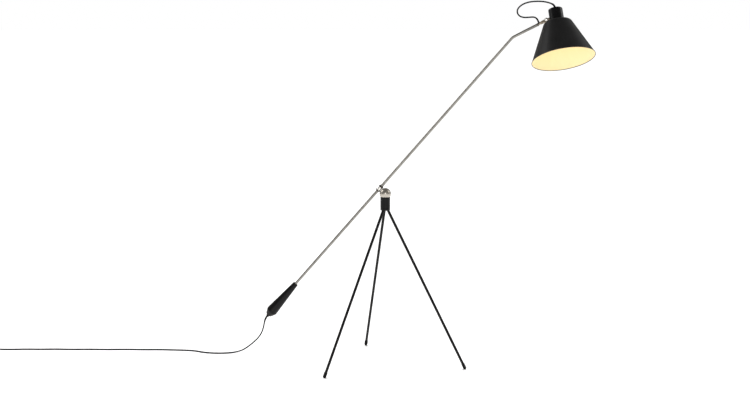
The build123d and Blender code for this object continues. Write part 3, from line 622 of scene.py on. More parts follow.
def tube_piece(name, line, radii, finish, segments=20):
    """A round tube along a line of points, closed at both ends.
    radii is one number or one per point."""
    if not hasattr(radii, "__len__"):
        radii = [radii] * len(line)

    def build(form):
        tangent = (line[1] - line[0]).normalized()
        side = tangent.orthogonal().normalized()
        rings = []
        for index, point in enumerate(line):
            ahead = line[min(index + 1, len(line) - 1)] - line[max(index - 1, 0)]
            ahead.normalize()
            side = tangent.rotation_difference(ahead) @ side
            side = (side - ahead * side.dot(ahead)).normalized()
            tangent = ahead
            up = ahead.cross(side)
            angles = [math.tau * k / segments for k in range(segments)]
            rings.append([
                form.verts.new(point + radii[index] * (side * math.cos(a) + up * math.sin(a)))
                for a in angles
            ])
        for lower, upper in zip(rings, rings[1:]):
            for k in range(segments):
                form.faces.new((lower[k], lower[(k + 1) % segments],
                                upper[(k + 1) % segments], upper[k]))
        form.faces.new(rings[0])
        form.faces.new(rings[-1])
    return bmesh_piece(name, build, Matrix.Identity(4), finish, 50.0)


WELD = 2e-6
FLAT_ANGLE = math.radians(0.6)
SHARP_ANGLE = math.radians(40.0)


def eased(name, node, finish, width, segments=2, smooth_angle=35.0):
    """A CAD node's own shape with its sharp edges eased to a small radius."""
    form = bmesh.new()
    form.from_mesh(NODES[node].data)
    bmesh.ops.remove_doubles(form, verts=form.verts, dist=WELD)
    bmesh.ops.dissolve_limit(
        form, angle_limit=FLAT_ANGLE, verts=form.verts, edges=form.edges
    )
    sharp = [e for e in form.edges
             if len(e.link_faces) == 2 and e.calc_face_angle(0.0) > SHARP_ANGLE]
    bmesh.ops.bevel(
        form, geom=sharp, offset=width, offset_type="OFFSET", segments=segments, profile=0.5,
        affect="EDGES", clamp_overlap=True,
    )
    bmesh.ops.triangulate(form, faces=[f for f in form.faces if len(f.verts) > 4])
    mesh = bpy.data.meshes.new(name)
    form.to_mesh(mesh)
    form.free()
    return new_piece(name, mesh, finish, smooth_angle)


def settle(piece, body, slot, *nodes):
    """Rides a piece on its body and stands it for CAD nodes; its slot is not used."""
    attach(piece, body)
    if nodes:
        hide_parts(*nodes)
    return piece


# Geometry node trees.
class Tree:
    """Writes a geometry node tree and turns its result into a plain mesh."""

    def __init__(self, name):
        self.group = bpy.data.node_groups.new(name, "GeometryNodeTree")
        face = self.group.interface
        face.new_socket("Geometry", in_out="INPUT", socket_type="NodeSocketGeometry")
        face.new_socket("Geometry", in_out="OUTPUT", socket_type="NodeSocketGeometry")
        self.inlet = self.group.nodes.new("NodeGroupInput")
        self.outlet = self.group.nodes.new("NodeGroupOutput")
        self.sockets = {}

    def size(self, name, kind="NodeSocketFloat"):
        """A named input of the tree."""
        socket = self.group.interface.new_socket(name, in_out="INPUT", socket_type=kind)
        self.sockets[name] = socket.identifier
        return self.inlet.outputs[name]

    def add(self, kind, values, **settings):
        made = self.group.nodes.new(kind)
        for name, setting in settings.items():
            setattr(made, name, setting)
        for name, value in values.items():
            if isinstance(value, bpy.types.NodeSocket):
                self.group.links.new(value, made.inputs[name])
            else:
                made.inputs[name].default_value = value
        return made

    def close(self, geometry):
        """Ends the tree: real geometry in its own material."""
        real = self.add("GeometryNodeRealizeInstances", {"Geometry": geometry})
        smooth = self.add("GeometryNodeSetShadeSmooth", {"Geometry": real.outputs[0]})
        paint = self.size("Material", "NodeSocketMaterial")
        painted = self.add(
            "GeometryNodeSetMaterial", {"Geometry": smooth.outputs[0], "Material": paint}
        )
        self.group.links.new(painted.outputs[0], self.outlet.inputs[0])

    def piece(self, name, place, finish, source=None, **sizes):
        """Runs the tree and keeps its result as a mesh in the place's frame."""
        holder = source or bpy.data.objects.new("holder", bpy.data.meshes.new("holder"))
        if source is None:
            bpy.context.scene.collection.objects.link(holder)
        modifier = holder.modifiers.new("made", "NODES")
        modifier.node_group = self.group
        for label, value in {**sizes, "Material": PAINT[finish]}.items():
            modifier[self.sockets[label.replace("_", " ")]] = value
        bpy.context.view_layer.update()
        evaluated = holder.evaluated_get(bpy.context.evaluated_depsgraph_get())
        mesh = bpy.data.meshes.new_from_object(evaluated)
        holder.modifiers.remove(modifier)
        bpy.data.objects.remove(holder)
        mesh.name = name
        mesh.transform(place)
        return new_piece(name, mesh, finish)


def ring_of_ribs_tree():
    """Upright rounded ribs, evenly spaced on a circle about Z."""
    tree = Tree("ring_of_ribs")
    count = tree.size("Count", "NodeSocketInt")
    radius = tree.size("Radius")
    thickness = tree.size("Thickness")
    length = tree.size("Length")
    circle = tree.add("GeometryNodeMeshCircle", {"Vertices": count, "Radius": radius})
    rib = tree.add(
        "GeometryNodeMeshCylinder",
        {"Vertices": 10, "Side Segments": 1, "Radius": thickness, "Depth": length},
    )
    ribs = tree.add(
        "GeometryNodeInstanceOnPoints",
        {"Points": circle.outputs[0], "Instance": rib.outputs["Mesh"]},
    )
    tree.close(ribs.outputs[0])
    return tree


def screw_thread_tree():
    """A rounded thread: a helix about Z swept with a round section."""
    tree = Tree("screw_thread")
    turns = tree.size("Turns")
    radius = tree.size("Radius")
    height = tree.size("Height")
    section = tree.size("Section")
    helix = tree.add(
        "GeometryNodeCurveSpiral",
        {"Resolution": 40, "Rotations": turns, "Start Radius": radius, "End Radius": radius,
         "Height": height},
    )
    profile = tree.add("GeometryNodeCurvePrimitiveCircle", {"Resolution": 8, "Radius": section})
    swept = tree.add(
        "GeometryNodeCurveToMesh",
        {"Curve": helix.outputs[0], "Profile Curve": profile.outputs[0], "Fill Caps": True},
    )
    tree.close(swept.outputs[0])
    return tree


def drawn_tube_tree():
    """A drawn tube: the source's edge path swept with a round section."""
    tree = Tree("drawn_tube")
    radius = tree.size("Radius")
    sides = tree.size("Sides", "NodeSocketInt")
    path = tree.add("GeometryNodeMeshToCurve", {"Mesh": tree.inlet.outputs[0]})
    profile = tree.add("GeometryNodeCurvePrimitiveCircle", {"Resolution": sides, "Radius": radius})
    swept = tree.add(
        "GeometryNodeCurveToMesh",
        {"Curve": path.outputs[0], "Profile Curve": profile.outputs[0], "Fill Caps": True},
    )
    tree.close(swept.outputs[0])
    return tree


def row_of_bars_tree():
    """Short rounded grip bars in a row along X, each lying along Y."""
    tree = Tree("row_of_bars")
    count = tree.size("Count", "NodeSocketInt")
    pitch = tree.size("Pitch", "NodeSocketVector")
    radius = tree.size("Radius")
    length = tree.size("Length")
    row = tree.add("GeometryNodeMeshLine", {"Count": count, "Offset": pitch})
    bar = tree.add(
        "GeometryNodeMeshCylinder",
        {"Vertices": 10, "Side Segments": 1, "Radius": radius, "Depth": length},
    )
    lying = tree.add(
        "GeometryNodeTransform",
        {"Geometry": bar.outputs["Mesh"], "Rotation": (math.pi / 2, 0.0, 0.0)},
    )
    bars = tree.add(
        "GeometryNodeInstanceOnPoints", {"Points": row.outputs[0], "Instance": lying.outputs[0]}
    )
    tree.close(bars.outputs[0])
    return tree


RIBS = ring_of_ribs_tree()
THREAD = screw_thread_tree()
TUBE = drawn_tube_tree()
BARS = row_of_bars_tree()


def path_source(points):
    """An object whose mesh is one run of edges, for the drawn tube."""
    mesh = bpy.data.meshes.new("path")
    edges = [(k, k + 1) for k in range(len(points) - 1)]
    mesh.from_pydata([tuple(p) for p in points], edges, [])
    made = bpy.data.objects.new("path", mesh)
    bpy.context.scene.collection.objects.link(made)
    return made


# Sizes of the turned pieces.
BALL_RADIUS = extent("steel_ball", BALL_PLACE)[3]
HEAD_LOW, HEAD_HIGH, _, HEAD_RADIUS = extent("head_body", Matrix.Identity(4))
ARM_TIP_RUN = 101 * MM    # from the middle of the arm's bend to the tube's end
GRAIN_TURN = 4 * MM       # the grain turns at the bend over this height
BALL_GAP = 0.3 * MM       # between the ball and the head's dish
SHADE_MOUTH_RADIUS = 111.5 * MM
SHADE_CORNER_RADIUS = 47.5 * MM
SHADE_CORNER_DROP = 2.5 * MM
SHADE_ROUND = 14 * MM
SHADE_WALL = 0.8 * MM
RIM_BEAD = 1.1 * MM
NECK_LOW, NECK_HIGH, _, NECK_RADIUS = extent("neck_can", SHADE_PLACE)
SHADE_TOP = NECK_LOW
SHADE_MOUTH = extent("shade_shell", SHADE_PLACE)[0] + RIM_BEAD
BULB_BOTTOM, BULB_TOP, _, BULB_RADIUS = extent("bulb_glass", SHADE_PLACE)

# The materials in use.
BLACK = (0.0028, 0.0028, 0.003)
WORN_STEEL = (0.22, 0.21, 0.20)
PAINT = {
    "shade": spun_enamel("shade_black_enamel", SHADE_PLACE, BLACK, WORN_STEEL, 0.0019, 0.05,
                         0.35),
    "neck": spun_enamel("neck_black_enamel", SHADE_PLACE, BLACK, WORN_STEEL, 0.0009, 0.05),
    "head": spun_enamel("head_black_enamel", BALL_PLACE, BLACK, WORN_STEEL, 0.0008, 0.05),
    "handle": spun_enamel("handle_black_lacquer", HANDLE_PLACE, (0.0026, 0.0024, 0.0024),
                          (0.15, 0.12, 0.09), 0.0011, 0.1),
    "legs": leg_enamel(),
    "tube": brushed_nickel("arm_satin_nickel", CLAMP_PLACE, (0.41, 0.395, 0.365),
                           (0.18, 0.17, 0.15), 0.28, 1500.0, 0.45, TIP_PLACE),
    "knuckle": brushed_nickel("knuckle_nickel", placed(PIVOT, TIP_AXIS), (0.56, 0.50, 0.41),
                              (0.24, 0.185, 0.125), 0.26, 1100.0, 0.55),
    "ball": turned_metal("ball_polished_nickel", BALL_PLACE, (0.47, 0.435, 0.38),
                         (0.27, 0.24, 0.20), 0.34, 0.0007),
    "discs": turned_metal("clamp_dark_steel", CLAMP_PLACE, (0.085, 0.08, 0.075),
                          (0.04, 0.037, 0.034), 0.34, 0.0004),
    "magnet": turned_metal("magnet_bright_plating", CLAMP_PLACE, (0.86, 0.84, 0.80),
                           (0.60, 0.56, 0.50), 0.12, 0.0009),
    "bronze": turned_metal("bush_bronze", TIP_PLACE, (0.30, 0.22, 0.13),
                           (0.13, 0.09, 0.055), 0.32, 0.0005),
    "brass": turned_metal("fitting_brass", SHADE_PLACE, (0.80, 0.62, 0.30),
                          (0.48, 0.34, 0.15), 0.22, 0.0006),
    "zinc": turned_metal("screw_zinc", BALL_PLACE, (0.58, 0.58, 0.57),
                         (0.36, 0.35, 0.33), 0.28, 0.0005),
    "iron": cast_iron(),
    "rubber": rubber("black_rubber", (0.0055, 0.0055, 0.006), 0.55),
    "sheath": cord_sheath(),
    # cream: enamel inside the shade, with a painted glow from the bulb.
    "cream": cream_enamel_painted_glow(),
    "bulb": lit_opal(),
    "holder": moulded_black("holder_bakelite", (0.008, 0.0062, 0.0052), 0.28),
    "mould": moulded_black("black_moulding", (0.005, 0.005, 0.0054), 0.32),
}


# Cords.
def make_mains_lead():
    """One line from the handle to the plug, split where the lead touches down."""
    route = MAINS_ROUTE + IN_SWITCH_ROUTE + COIL_LEAD_ROUTE + coil_points() + PLUG_LEAD_ROUTE
    line = line_of(route)
    down = next(i for i, point in enumerate(line) if point.z < TOUCHDOWN)
    drop = line[:down + 1]
    floor = line[down:]
    hanging = tube_piece("mains_lead_drop", drop, CORD_RADIUS, "sheath")
    lying = tube_piece("mains_lead_floor", floor, CORD_RADIUS, "sheath")
    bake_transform(hanging)
    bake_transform(lying)
    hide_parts("mains_lead")
    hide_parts("mains_lead", "mains_lead_to_coil", "mains_lead_coil", "mains_lead_to_plug")
    return hanging, lying, drop, floor


def make_shade_lead():
    """The lead's loop from the knuckle over to the gland on the neck."""
    hole = TIP + LEAD_HOLE_REACH * TIP_AXIS
    gland_top = SHADE_PLACE @ Vector((0, 0, extent("neck_cord_gland", SHADE_PLACE)[1]))
    route = [
        *[hole + rise * KNUCKLE_UP for rise in SHADE_LEAD_RISES],
        *SHADE_LEAD_ROUTE,
        gland_top + SHADE_LEAD_END_RUN * SHADE_AXIS,
        gland_top,
    ]
    line = line_of([tuple(p) for p in route])
    loop = tube_piece("shade_lead_loop", line, CORD_RADIUS, "sheath")
    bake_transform(loop)
    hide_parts("shade_lead")
    return loop, line


mains_drop, mains_floor, drop_line, floor_line = make_mains_lead()
shade_loop, loop_line = make_shade_lead()


def part_of(line, reach):
    """The first stretch of a line, as long as reach."""
    taken, run = [line[0]], 0.0
    for before, after in zip(line, line[1:]):
        step = (after - before).length
        if run + step >= reach:
            taken.append(before.lerp(after, (reach - run) / step))
            break
        run += step
        taken.append(after)
    return taken


def resampled(line, count):
    """Evenly spaced points along a line."""
    total = length_of(line)
    return [part_of(line, max(total * k / (count - 1), 1e-6))[-1] if k else line[0]
            for k in range(count)]


RELIEF_RINGS = 61
GROOVE_PITCH = 6          # rings from groove to groove
GROOVED = (8, 54)         # rings between which the sleeve is grooved
GROOVE_DEPTH = 0.35 * MM
RELIEF_LIP = 0.3 * MM


def strain_relief(name, line, length, wide, narrow):
    """A tapered grooved rubber sleeve on a lead's first stretch, shaped along the lead's line."""
    points = resampled(part_of(line, length), RELIEF_RINGS)
    radii = []
    for k in range(RELIEF_RINGS):
        radius = wide + (narrow - wide) * k / (RELIEF_RINGS - 1)
        grooved = k % GROOVE_PITCH in (3, 4) and GROOVED[0] < k < GROOVED[1]
        radii.append(radius - (GROOVE_DEPTH if grooved else 0.0))
    radii[-1] = narrow - RELIEF_LIP
    relief = tube_piece(name, points, radii, "rubber", 32)
    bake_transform(relief)
    return relief


# Tripod.
def make_tripod():
    """The head, dished for the ball, on its three legs."""
    drop = BALL_CENTRE.z - HEAD_HIGH
    cup = math.sqrt(max(BALL_RADIUS**2 - drop**2, 0.0)) + BALL_GAP
    sphere = BALL_RADIUS + BALL_GAP
    dish = [
        (sphere * math.sin(angle), BALL_CENTRE.z - sphere * math.cos(angle))
        for angle in np.linspace(math.asin(cup / sphere), math.radians(18), 10)
        if BALL_CENTRE.z - sphere * math.cos(angle) <= HEAD_HIGH
    ]
    rim = math.sqrt(sphere**2 - drop**2)
    head = turned_piece("tripod_head", [
        (rim, HEAD_HIGH),
        (HEAD_RADIUS, HEAD_HIGH, 0.8 * MM),
        (HEAD_RADIUS, HEAD_LOW + 9.4 * MM),
        (HEAD_RADIUS - 0.5 * MM, HEAD_LOW + 9.0 * MM),
        (HEAD_RADIUS - 0.5 * MM, HEAD_LOW + 8.2 * MM),
        (HEAD_RADIUS, HEAD_LOW + 7.8 * MM),
        (HEAD_RADIUS, HEAD_LOW, 2.6 * MM),
        (0.0, HEAD_LOW),
        (0.0, HEAD_HIGH - 22 * MM),
        *reversed(dish),
    ], Matrix.Identity(4), "head", 128, closed=True)
    settle(head, "tripod", "black_head", "head_body")
    for name in ("front_left", "right", "rear"):
        make_leg(name)


def make_leg(name):
    """A drawn tube and its ribbed rubber foot."""
    low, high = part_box(f"leg_tube_{name}")
    points = np.array([v.co for v in NODES[f"leg_tube_{name}"].data.vertices])
    top = Vector(points[points[:, 2] > high.z - 6 * MM].mean(0))
    bottom = Vector(points[points[:, 2] < low.z + 6 * MM].mean(0))
    down = (bottom - top).normalized()
    place = placed(top, down)
    _, end, _, radius = extent(f"leg_tube_{name}", place)
    path = [place @ Vector((0, 0, end * k / 12)) for k in range(13)]
    tube = TUBE.piece(
        f"leg_{name}", Matrix.Identity(4), "legs", path_source(path), Radius=radius, Sides=48
    )
    settle(tube, "tripod", "black_legs", f"leg_tube_{name}")
    start, stop, _, wide = extent(f"foot_cap_{name}", place)
    ridge = 0.45 * MM
    rings = [start + k * (stop - start) * 0.11 for k in (1.5, 3.0, 4.5)]
    outline = [(radius, start), (wide - 0.4 * MM, start, 0.5 * MM)]
    for height in rings:
        outline += [(wide - ridge, height), (wide, height + 0.7 * MM),
                    (wide - ridge, height + 1.4 * MM)]
    round_start = stop - wide
    outline += [(wide - ridge, round_start)]
    outline += [
        ((wide - 0.2 * MM) * math.cos(angle), round_start + wide * math.sin(angle))
        for angle in np.linspace(0.15, math.pi / 2, 12)[:-1]
    ]
    outline += [(0.0, stop), (0.0, start + 1 * MM), (radius, start + 1 * MM)]
    foot = turned_piece(f"foot_{name}", outline, place, "rubber", 72, closed=True)
    for vertex in foot.data.vertices:
        vertex.co.z = max(vertex.co.z, 0.0)
    settle(foot, "tripod", "black_rubber", f"foot_cap_{name}")


# Ball and clamp.
def make_ball():
    collar = 6.6 * MM
    low_angle = math.asin(collar / BALL_RADIUS)
    profile = [(0.0, BALL_RADIUS)]
    profile += [
        (BALL_RADIUS * math.sin(angle), BALL_RADIUS * math.cos(angle))
        for angle in np.linspace(0.0, math.pi - low_angle, 72)[1:]
    ]
    profile += [(collar - 0.4 * MM, -BALL_RADIUS + 0.4 * MM), (0.0, -BALL_RADIUS + 0.4 * MM)]
    ball = turned_piece("polished_ball", profile, BALL_PLACE, "ball", 144, smooth_angle=30.0)
    settle(ball, "ball", "polished_ball", "steel_ball")


def make_clamp():
    for name in ("pole_disc_lower", "pole_disc_upper"):
        low, high, bore, radius = extent(name, CLAMP_PLACE)
        grooves = [low + (high - low) * share for share in (0.36, 0.64)]
        outline = [(bore, low), (radius, low, 0.35 * MM)]
        for height in grooves:
            outline += [(radius, height - 0.18 * MM), (radius - 0.22 * MM, height),
                        (radius, height + 0.18 * MM)]
        outline += [(radius, high, 0.35 * MM), (bore, high)]
        disc = turned_piece(name + "_turned", outline, CLAMP_PLACE, "discs", 96, closed=True)
        settle(disc, "magnet", "dark_discs", name)
    low, high, bore, radius = extent("ring_magnet", CLAMP_PLACE)
    ring = turned_piece("magnet_ring", [
        (bore, low), (radius, low), (radius, low + 0.3 * MM),
        (radius - 0.25 * MM, low + 0.8 * MM), (radius - 0.25 * MM, high - 0.8 * MM),
        (radius, high - 0.3 * MM), (radius, high), (bore, high),
    ], CLAMP_PLACE, "magnet", 96, closed=True)
    settle(ring, "magnet", "bright_magnet", "ring_magnet")
    settle(eased("clamp_liner", "clamp_sleeve", "bronze", 0.12 * MM),
           "magnet", "bearing_bronze", "clamp_sleeve")


# Arm.
ARM_BEND_RADIUS = 45 * MM
ARM_RADIUS = 5 * MM


def arm_line():
    """Middle of the arm tube: straight, one round bend, straight to the tip."""
    bend = TUBE_AXIS.angle(TIP_AXIS)
    towards = (TIP_AXIS - TUBE_AXIS * TIP_AXIS.dot(TUBE_AXIS)).normalized()
    start = CLAMP_CENTRE + extent("arm_tube", CLAMP_PLACE)[0] * TUBE_AXIS
    run = ARM_BEND_RADIUS * math.tan(bend / 2)
    across = (TIP - CLAMP_CENTRE).dot(towards) / math.sin(bend)
    corner = TIP - across * TIP_AXIS
    centre = corner - run * TUBE_AXIS + ARM_BEND_RADIUS * towards
    line = [start.lerp(corner - run * TUBE_AXIS, share) for share in np.linspace(0, 1, 25)]
    line += [
        centre - ARM_BEND_RADIUS * (towards * math.cos(angle) - TUBE_AXIS * math.sin(angle))
        for angle in np.linspace(0.0, bend, 15)[1:]
    ]
    line += [line[-1].lerp(TIP, share) for share in np.linspace(0, 1, 6)[1:]]
    return line


def make_arm():
    tube = TUBE.piece("arm_tube_satin", Matrix.Identity(4), "tube", path_source(arm_line()),
                      Radius=ARM_RADIUS, Sides=56)
    settle(tube, "arm", "satin_tube", "arm_tube")
    settle(eased("tube_stop_rings", "stop_rings", "discs", 0.15 * MM),
           "arm", "dark_discs", "stop_rings")
    _, high, _, radius = extent("tube_end_bush", TIP_PLACE)
    collar = turned_piece("tube_end_collar", [
        (3.6 * MM, 0.0), (radius, 0.0, 0.3 * MM), (radius, 0.75 * MM),
        (radius - 0.25 * MM, 0.9 * MM), (radius, 1.05 * MM), (radius, high, 0.35 * MM),
        (3.6 * MM, high),
    ], TIP_PLACE, "discs", 72, closed=True)
    settle(collar, "arm", "bearing_bronze", "tube_end_bush")


def make_handle():
    """The lacquered grip, with a fine seam where its lower end is screwed on."""
    _, seam, _, wide_radius = extent("handle_shell", HANDLE_PLACE)
    _, end, _, _ = extent("handle_cap", HANDLE_PLACE)
    top_radius = 10 * MM
    end_radius = 12.5 * MM
    slope = (wide_radius - top_radius) / seam
    sides = np.linspace(12 * MM, seam - 1 * MM, 9)
    outline = [
        (ARM_RADIUS, 0.0),
        (top_radius, 0.0, 1.2 * MM),
        (top_radius + slope * 4.0 * MM, 4.0 * MM),
        (top_radius + slope * 4.4 * MM - 0.35 * MM, 4.4 * MM),
        (top_radius + slope * 4.8 * MM, 4.8 * MM),
        *[(top_radius + slope * height, height) for height in sides],
        (wide_radius, seam - 0.25 * MM),
        (wide_radius - 0.3 * MM, seam),
        (wide_radius, seam + 0.25 * MM),
        (wide_radius + 0.3 * MM, seam + 5.0 * MM, 9 * MM),
        (end_radius, end - 1.5 * MM, 1.2 * MM),
        (end_radius - 2.5 * MM, end, 0.6 * MM),
        (4.6 * MM, end),
        (4.6 * MM, end - 10 * MM),
        (0.0, end - 10 * MM),
    ]
    grip = turned_piece("handle_grip", outline, HANDLE_PLACE, "handle", 128)
    settle(grip, "arm", "black_handle", "handle_shell", "handle_cap")
    low, high, bore, radius = extent("handle_cord_bush", HANDLE_PLACE)
    bush = turned_piece("handle_cord_collar", [
        (bore, low), (4.5 * MM, low), (4.5 * MM, end), (radius, end), (radius, high, 0.5 * MM),
        (bore, high, 0.3 * MM),
    ], HANDLE_PLACE, "rubber", 72, closed=True)
    settle(bush, "arm", "black_rubber", "handle_cord_bush")
    return strain_relief("handle_strain_relief", drop_line, 30 * MM, 4.3 * MM, 3.1 * MM)


# Knuckle.
def make_knuckle():
    parts = {
        "knuckle_fork": ("knuckle_fork_eased", 0.35 * MM),
        "pivot_washer": ("pivot_washer_eased", 0.15 * MM),
        "pivot_nut": ("pivot_nut_eased", 0.3 * MM),
    }
    for node, (name, width) in parts.items():
        settle(eased(name, node, "knuckle", width), "knuckle", "knuckle_nickel", node)
    place = placed(PIVOT, -PIVOT_AXIS)
    low, high, _, radius = extent("pivot_screw", place)
    seat = high - 2.6 * MM
    screw = turned_piece("pivot_screw_domed", [
        (0.0, low), (3 * MM, low, 0.4 * MM), (3 * MM, seat), (radius, seat, 0.3 * MM),
        (radius, high - 1.5 * MM, 1.3 * MM), (1.9 * MM, high, 0.3 * MM),
        (1.5 * MM, high - 0.8 * MM, 0.2 * MM),
        (0.0, high - 0.8 * MM),
    ], place, "magnet", 64)
    settle(screw, "knuckle", "knuckle_nickel", "pivot_screw")
    settle(eased("knuckle_eye_eased", "knuckle_eye", "knuckle", 0.3 * MM),
           "shade", "knuckle_nickel", "knuckle_eye")
    relief = strain_relief("knuckle_strain_relief", loop_line, 20 * MM, 3.3 * MM, 2.9 * MM)
    grommet = eased("lead_grommet_eased", "lead_grommet", "rubber", 0.2 * MM)
    settle(grommet, "knuckle", "black_rubber", "lead_grommet")
    return relief


# Shade.
def shade_edge(inset, drop):
    """The shade's section from the neck to the mouth, drawn in by inset and lowered by drop."""
    hole = 20.5 * MM
    slope = SHADE_CORNER_DROP / SHADE_CORNER_RADIUS
    top = NECK_LOW - drop
    return softened([
        (hole, top - slope * hole),
        (SHADE_CORNER_RADIUS - inset, top - SHADE_CORNER_DROP, SHADE_ROUND - drop),
        (SHADE_MOUTH_RADIUS - inset, SHADE_MOUTH),
    ], 16)


def wall(outer, inner):
    """Closed outline between two open sections."""
    return [tuple(p) for p in outer] + [tuple(p) for p in reversed(inner)]


def make_shade():
    outer = shade_edge(0.0, 0.0)
    middle = shade_edge(0.55 * SHADE_WALL, 0.5 * SHADE_WALL)
    inner = shade_edge(1.1 * SHADE_WALL, SHADE_WALL)
    outside = turned_piece("shade_outside", wall(outer, middle), SHADE_PLACE, "shade", 192,
                           closed=True)
    settle(outside, "shade", "black_shade", "shade_shell")
    # The inside is cream enamel with a painted glow from the bulb.
    inside = turned_piece("shade_inside", wall(middle, inner), SHADE_PLACE, "cream", 192,
                          closed=True)
    settle(inside, "shade", "black_shade", "shade_shell")
    bead_middle = SHADE_MOUTH_RADIUS - RIM_BEAD / 2
    bead = [
        (bead_middle + RIM_BEAD * math.cos(angle), SHADE_MOUTH + RIM_BEAD * math.sin(angle))
        for angle in np.linspace(0.0, math.tau, 17)[:-1]
    ]
    rim = turned_piece("shade_rolled_rim", bead, SHADE_PLACE, "shade", 192, closed=True)
    settle(rim, "shade", "black_shade")
    neck = turned_piece("shade_neck", [
        (0.0, NECK_HIGH),
        (NECK_RADIUS, NECK_HIGH, 3 * MM),
        (NECK_RADIUS, NECK_LOW + 2.6 * MM),
        (NECK_RADIUS - 0.3 * MM, NECK_LOW + 2.2 * MM),
        (NECK_RADIUS, NECK_LOW + 1.8 * MM),
        (NECK_RADIUS, NECK_LOW, 0.3 * MM),
        (20.5 * MM, NECK_LOW),
        (20.5 * MM, NECK_LOW + 1 * MM),
        (NECK_RADIUS - 1 * MM, NECK_LOW + 1 * MM),
        (NECK_RADIUS - 1 * MM, NECK_HIGH - 1 * MM, 2 * MM),
        (0.0, NECK_HIGH - 1 * MM),
    ], SHADE_PLACE, "neck", 128)
    settle(neck, "shade", "black_shade", "neck_can")
    settle(eased("shade_clamp_ring", "shade_ring", "holder", 0.4 * MM),
           "shade", "black_shade", "shade_ring")


def make_gland():
    """Cord gland with grip ribs, and the sleeve that the lead's loop ends in."""
    low, high, _, radius = extent("neck_cord_gland", SHADE_PLACE)
    body = radius - 0.5 * MM
    gland = turned_piece("gland_body", [
        (0.0, low + 0.2 * MM), (body, low + 0.2 * MM, 0.3 * MM), (body, high - 1.6 * MM, 0.5 * MM),
        (4.6 * MM, high, 0.5 * MM), (CORD_RADIUS, high), (CORD_RADIUS, high - 2 * MM),
        (0.0, high - 2 * MM),
    ], SHADE_PLACE, "mould", 72)
    settle(gland, "shade", "black_gland", "neck_cord_gland")
    middle = SHADE_PLACE @ Matrix.Translation((0, 0, (low + high - 1.4 * MM) / 2))
    ribs = RIBS.piece("gland_grip_ribs", middle, "mould", Count=24, Radius=body - 0.05 * MM,
                      Thickness=0.5 * MM, Length=high - low - 2.6 * MM)
    settle(ribs, "shade", "black_gland")
    return strain_relief("gland_strain_relief", list(reversed(loop_line)), 20 * MM, 3.9 * MM,
                         3.0 * MM)


def make_lamp_holder():
    low, high, _, radius = extent("lamp_holder", SHADE_PLACE)
    body_top = high - 6 * MM
    holder = turned_piece("holder_body", [
        (0.0, high), (9 * MM, high, 0.5 * MM), (9 * MM, body_top + 1.5 * MM, 1.2 * MM),
        (radius, body_top, 2.4 * MM), (radius, low, 1.0 * MM), (14.6 * MM, low, 0.6 * MM),
        (14.6 * MM, low + 31 * MM), (0.0, low + 31 * MM),
    ], SHADE_PLACE, "holder", 96)
    settle(holder, "shade", "holder_plastic", "lamp_holder")
    ribs_place = SHADE_PLACE @ Matrix.Translation((0, 0, low + 10 * MM))
    ribs = RIBS.piece("holder_grip_ribs", ribs_place, "holder", Count=36,
                      Radius=radius - 0.05 * MM, Thickness=0.45 * MM, Length=12 * MM)
    settle(ribs, "shade", "holder_plastic")


def make_bulb():
    """Pear-shaped opal glass in a threaded cap."""
    centre = BULB_BOTTOM + BULB_RADIUS
    neck = 12.8 * MM
    shoulder = math.radians(52)
    outline = [(0.0, BULB_BOTTOM)]
    outline += [
        (BULB_RADIUS * math.cos(angle), centre + BULB_RADIUS * math.sin(angle))
        for angle in np.linspace(-math.pi / 2, shoulder, 34)[1:]
    ]
    start = Vector((BULB_RADIUS * math.cos(shoulder), centre + BULB_RADIUS * math.sin(shoulder)))
    start_way = Vector((-math.sin(shoulder), math.cos(shoulder)))
    end = Vector((neck, BULB_TOP))
    for share in np.linspace(0.0, 1.0, 16)[1:]:
        first = start + start_way * 18 * MM
        second = end - Vector((0.0, 1.0)) * 14 * MM
        point = ((1 - share)**3 * start + 3 * share * (1 - share)**2 * first
                 + 3 * share**2 * (1 - share) * second + share**3 * end)
        outline.append(tuple(point))
    outline.append((0.0, BULB_TOP))
    glass = turned_piece("bulb_opal_glass", outline, SHADE_PLACE, "bulb", 112)
    settle(glass, "shade", "lit_bulb", "bulb_glass")
    low, high, _, radius = extent("bulb_cap", SHADE_PLACE)
    root = radius - 1.0 * MM
    cap = turned_piece("bulb_cap_shell", [
        (0.0, low), (radius, low, 0.3 * MM), (radius, low + 3 * MM), (root, low + 4 * MM),
        (root, high - 4 * MM), (7 * MM, high, 0.6 * MM), (0.0, high),
    ], SHADE_PLACE, "brass", 72)
    settle(cap, "shade", "brass_fittings", "bulb_cap")
    thread_place = SHADE_PLACE @ Matrix.Translation((0, 0, low + 5 * MM))
    thread = THREAD.piece("bulb_cap_thread", thread_place, "brass", Turns=4.0, Radius=root,
                          Height=14.5 * MM, Section=0.95 * MM)
    settle(thread, "shade", "brass_fittings")


